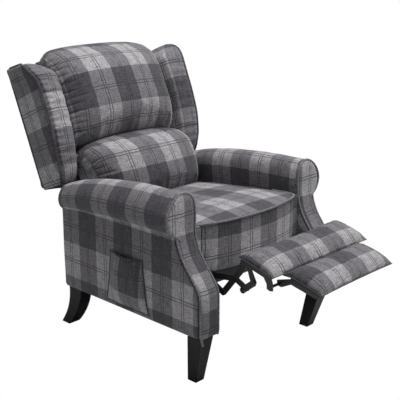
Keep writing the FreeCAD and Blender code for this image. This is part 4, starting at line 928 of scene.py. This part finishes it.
def make_pad(name, node, body, half, start, joined, columns, first_row):
    """A pad with its seam. joined is the side, 1 or -1, on which it meets the other pad."""
    def outline(s, t):
        a, b = 2 * s - 1, 2 * t - 1
        x = half * a * (1 - 0.016 * (1 - b * b))
        pull = 0 if b * joined > 0 else 0.045
        along = start + PAD_HALF + PAD_HALF * b * (1 - pull * (1 - abs(a) ** 2.5))
        return a, b, x, along

    def top(s, t):
        a, b, x, along = outline(s, t)
        body_height = max(0.0, 1 - abs(a) ** 14) ** 0.5 * max(0.0, 1 - abs(b) ** 2.8) ** 0.52
        rim = min(1 - abs(a), (1 - abs(b)) * 0.3) * half
        crimp = 1.3 * math.cos(x / 4.6 + 4 * ripple(x, b * 5, 40)) * math.exp(-rim / 9) * min(1, rim / 3)
        end = min(1.0, (1 - abs(a)) * half / 4) * math.exp(-(1 - abs(a)) * half / 22)
        crimp += 0.8 * end * math.cos(along / 4.2 + a)
        return on_pad(x, along, 2.5 + 23 * body_height + crimp + 1.1 * ripple(x, along, 50) * body_height)

    def base(s, t):
        a, b, x, along = outline(s, t)
        flat = max(0.0, 1 - abs(a) ** 16) ** 0.5 * max(0.0, 1 - abs(b) ** 8) ** 0.5
        return on_pad(x, along, 2.5 - 2.2 * flat)

    bm = bmesh.new()
    cloth_panel(bm, 120, 44, top, lambda s, t: (outline(s, t)[2] - columns, outline(s, t)[3] - first_row))
    cloth_panel(bm, 120, 44, base, lambda s, t: outline(s, t)[2:])
    bmesh.ops.remove_doubles(bm, verts=bm.verts, dist=0.05)
    piece = finish_cloth(name, bm, body, node)
    settle(piece, [base(i / 120, k / 44) for i in range(121) for k in range(45)], 0.006, 0.01)
    edge = [outline(k / 60, 0) for k in range(60)] + [outline(1, k / 20) for k in range(20)]
    edge += [outline(1 - k / 60, 1) for k in range(60)] + [outline(0, 1 - k / 20) for k in range(20)]
    path = [on_pad(p[2] * 1.003, p[3], 2.3) for p in edge]
    path.append(path[0])
    bm = bmesh.new()
    # The seam is real, but its cord is cut from the dark band as painted shade along the pad's underside.
    tube(bm, path, 1.3)
    finish_cloth(name + "_seam", bm, body)


make_pad("footrest_padded_cushion", "footrest_pad", "footrest", 229, 0, 1, 36, -41)
make_pad("flipper_padded_cushion", "flipper_pad", "flipper", 175, 129, -1, -26, 84)

# Legs: rubberwood, stained black and sprayed with satin lacquer, which softens the arrises.
# The front legs taper to a square foot; the rear legs are sawn to a backward sweep.

black_wood = textured("black_stained_rubberwood_satin_lacquer",
                      ("TexNoise", {"Scale": 1, "Detail": 3}, (180, 180, 9)), ("#070708", "#0d0d0e"),
                      (0.42, 0.55), (0.15, 0.0003),
                      {"Coat Weight": 0.08, "Coat Roughness": 0.3, "Specular IOR Level": 0.14})


def leg_mesh(name, node, sections):
    """A leg through square sections (x low, x high, y low, y high, z), with softened long edges."""
    bm = bmesh.new()
    bmesh.ops.create_cube(bm, size=1)
    rings = len(sections) - 1
    upright = [e for e in bm.edges if abs(e.verts[0].co.z - e.verts[1].co.z) > 0.5]
    bmesh.ops.subdivide_edges(bm, edges=upright, cuts=rings - 1, use_grid_fill=True)
    for v in bm.verts:
        x0, x1, y0, y1, z = sections[int(round((v.co.z + 0.5) * rings))]
        v.co = Vector((x1 if v.co.x > 0 else x0, y1 if v.co.y > 0 else y0, z))
    sharp = [e for e in bm.edges if len(e.link_faces) == 2 and e.calc_face_angle() > 0.9]
    bmesh.ops.bevel(bm, geom=sharp, offset=2, offset_type="OFFSET", segments=3, profile=0.5,
                    affect="EDGES", material=-1)
    finish_piece(name, bm, black_wood, "base", [node], smooth=False)


for side, word in ((-1, "right"), (1, "left")):
    top_x, foot_x = sorted((side * 263.5, side * 317.5)), sorted((side * 254, side * 289))
    leg_mesh("front_%s_tapered_leg" % word, "front_%s_leg" % word,
             ((*foot_x, -233.5, -198.5, 0), (*top_x, -280, -226, 160)))
    rings = []
    for k in range(13):
        down = 1 - k / 12
        shift = 84 * (0.25 * down + 0.75 * down ** 2)
        a, b = sorted((side * (267.5 - 24.5 * down), side * (313.5 - 24.5 * down)))
        rings.append((a, b, 266 + shift + 21 * down, 328 + shift, 160 * (1 - down)))
    leg_mesh("rear_%s_sabre_leg" % word, "rear_%s_leg" % word, rings)

# Steel of the mechanism: stamped strip, powder coated black with a fine satin grain, and
# rivets and bolts plated with black zinc. Springs are drawn wire, left with their oil-black finish.

black_steel = textured("black_powder_coated_steel", ("TexNoise", {"Scale": 35, "Detail": 4}),
                       ("#121214", "#1d1d20"), (0.38, 0.55),
                       (0.25, 0.0003, ("TexNoise", {"Scale": 900, "Detail": 2})))
zinc = textured("black_zinc_plated_steel", ("TexNoise", {"Scale": 260, "Detail": 3}),
                ("#4b4c4f", "#303134"), (0.28, 0.48), more={"Metallic": 1})
spring_wire = textured("oiled_spring_wire", ("TexNoise", {"Scale": 320, "Detail": 3}),
                       ("#3b3c3f", "#57585b"), (0.3, 0.5), more={"Metallic": 1})

# Hidden timber: sawn pine and plywood, with its annual rings as fine brown streaks.

timber = textured("sawn_pine", ("TexNoise", {"Scale": 1, "Detail": 4}, (60, 9, 60)),
                  ("#c39f70", "#a47c4d"), 0.75, (0.3, 0.0006))

# Black cloth: thin spun-bonded polypropylene, stapled under the seat and the wings and round the
# timber that gaps leave in sight. Its bonding leaves a pattern of small dimples, about 2 mm apart.

black_cloth = textured("black_spun_bonded_cloth", ("TexNoise", {"Scale": 260, "Detail": 4}),
                       ("#1a1a1c", "#2a2a2d"), 0.85, (0.5, 0.0004, ("TexVoronoi", {"Scale": 480})))
webbing = textured("elastic_upholstery_webbing",
                   ("TexWave", {"Scale": 160, "Distortion": 0.4, "bands_direction": "X"}),
                   ("#2b2b2e", "#4a4440"), 0.8, (0.5, 0.0005))
nylon = textured("moulded_natural_nylon", ("TexNoise", {"Scale": 700, "Detail": 2}),
                 ("#e0ddd2", "#cfcbbd"), (0.4, 0.55), more={"Subsurface Weight": 0.05})

# The lining: black cloth under the seat. It hangs behind the boxed front in a fold that the
# folded footrest clears, and follows the bow of the front.

LINING_HALF, LINING_TURN, LINING_FOLD = 189, -130, 64
slack = smooth_line(((196, 334.3), (60, 334.3), (-112, 334), (-130, 318), (-142, 284), (-152, 252),
                     (-163, 249), (-174, 270), (-184, 300), (-190, 326)), 60)


def lining_place(s, t):
    x, (y, z) = LINING_HALF * (2 * s - 1), slack[int(round(t * (len(slack) - 1)))]
    ahead = max(0.0, (LINING_TURN - y) / LINING_FOLD)
    return Vector((x, y + ahead * (seat_front(x) - SEAT_FRONT), z + 6 * ahead * ripple(x, y, 34)))


bm = bmesh.new()
cloth_panel(bm, 60, len(slack) - 1, lining_place, lambda s, t: (s * 380, t * 420))
bmesh.ops.solidify(bm, geom=list(bm.faces), thickness=1.2)
finish_piece("seat_lining", bm, black_cloth, "seat", ["seat_dust_cloth"], merge=0)

# The finish of each slot, on the CAD part's own pieces that stay in sight.

FINISH = {"frame_timber": timber, "black_steel": black_steel, "zinc_steel": zinc,
          "spring_steel": spring_wire, "black_cloth": black_cloth, "webbing": webbing, "nylon": nylon,
          "checked_fabric": checked_cloth, "black_wood": black_wood}
IN_BLACK_CLOTH = ("footrest_board", "flipper_board", "back_frame", "wing_battens", "rear_base_rail",
                  "left_wing_board", "right_wing_board", "seat_frame", "front_border_board")
for part in frame["record"]["subparts"]:
    node_object = frame["nodes"].get(part["node"])
    finish = black_cloth if part["node"] in IN_BLACK_CLOTH else FINISH[part["material_slot"]]
    if node_object is not None:
        for socket in node_object.material_slots:
            socket.material = finish
        if not node_object.material_slots:
            node_object.data.materials.append(finish)

# Setting: a white floor and surroundings, and soft lamps at a plain level. The camera sees the
# surroundings as plain white, and so do reflections.

world = bpy.data.worlds.new("studio")
bpy.context.scene.world = world
world.use_nodes = True
tree = world.node_tree
tree.nodes.clear()
rays = add_node(tree, "LightPath").outputs
seen = rays["Is Camera Ray"]
for kind in ("Is Glossy Ray", "Is Transmission Ray"):
    seen = maths(tree, "MAXIMUM", seen, rays[kind])
ambient = add_node(tree, "Background", {0: (1, 1, 1, 1), 1: 0.1}).outputs[0]
white = add_node(tree, "Background", {0: (1, 1, 1, 1), 1: 1.0}).outputs[0]
both = add_node(tree, "MixShader", {}, {0: seen, 1: ambient, 2: white}).outputs[0]
add_node(tree, "OutputWorld", {}, {0: both})

bm = bmesh.new()
bmesh.ops.create_grid(bm, x_segments=1, y_segments=1, size=6)
floor_mesh = bpy.data.meshes.new("floor")
bm.to_mesh(floor_mesh)
bm.free()
floor = bpy.data.objects.new("floor", floor_mesh)
bpy.context.scene.collection.objects.link(floor)
floor_paint = bpy.data.materials.new("white_floor")
floor_paint.use_nodes = True
tree = floor_paint.node_tree
tree.nodes.clear()
rays = add_node(tree, "LightPath").outputs
plain = add_node(tree, "BsdfDiffuse", {0: (0.85, 0.85, 0.85, 1)}).outputs[0]
glow = add_node(tree, "Emission", {0: (1, 1, 1, 1), 1: 1.0}).outputs[0]
mixed = add_node(tree, "MixShader", {}, {0: rays["Is Camera Ray"], 1: plain, 2: glow}).outputs[0]
add_node(tree, "OutputMaterial", {}, {0: mixed})
floor_mesh.materials.append(floor_paint)


def lamp(name, spot, power, width):
    """A round lamp at spot that faces the seat."""
    data = bpy.data.lights.new(name, "AREA")
    data.energy, data.shape, data.size = power, "DISK", width
    made = bpy.data.objects.new(name, data)
    bpy.context.scene.collection.objects.link(made)
    made.location = spot
    made.rotation_euler = (Vector((0, 0, 0.4)) - Vector(spot)).to_track_quat("-Z", "Y").to_euler()


lamp("key", (1.9, -2.0, 2.4), 29, 1.6)
lamp("fill", (-1.4, 0.9, 3.3), 19, 1.8)
lamp("top", (0.15, -0.6, 3.5), 104, 2.0)
bpy.context.scene.view_settings.view_transform = "Standard"
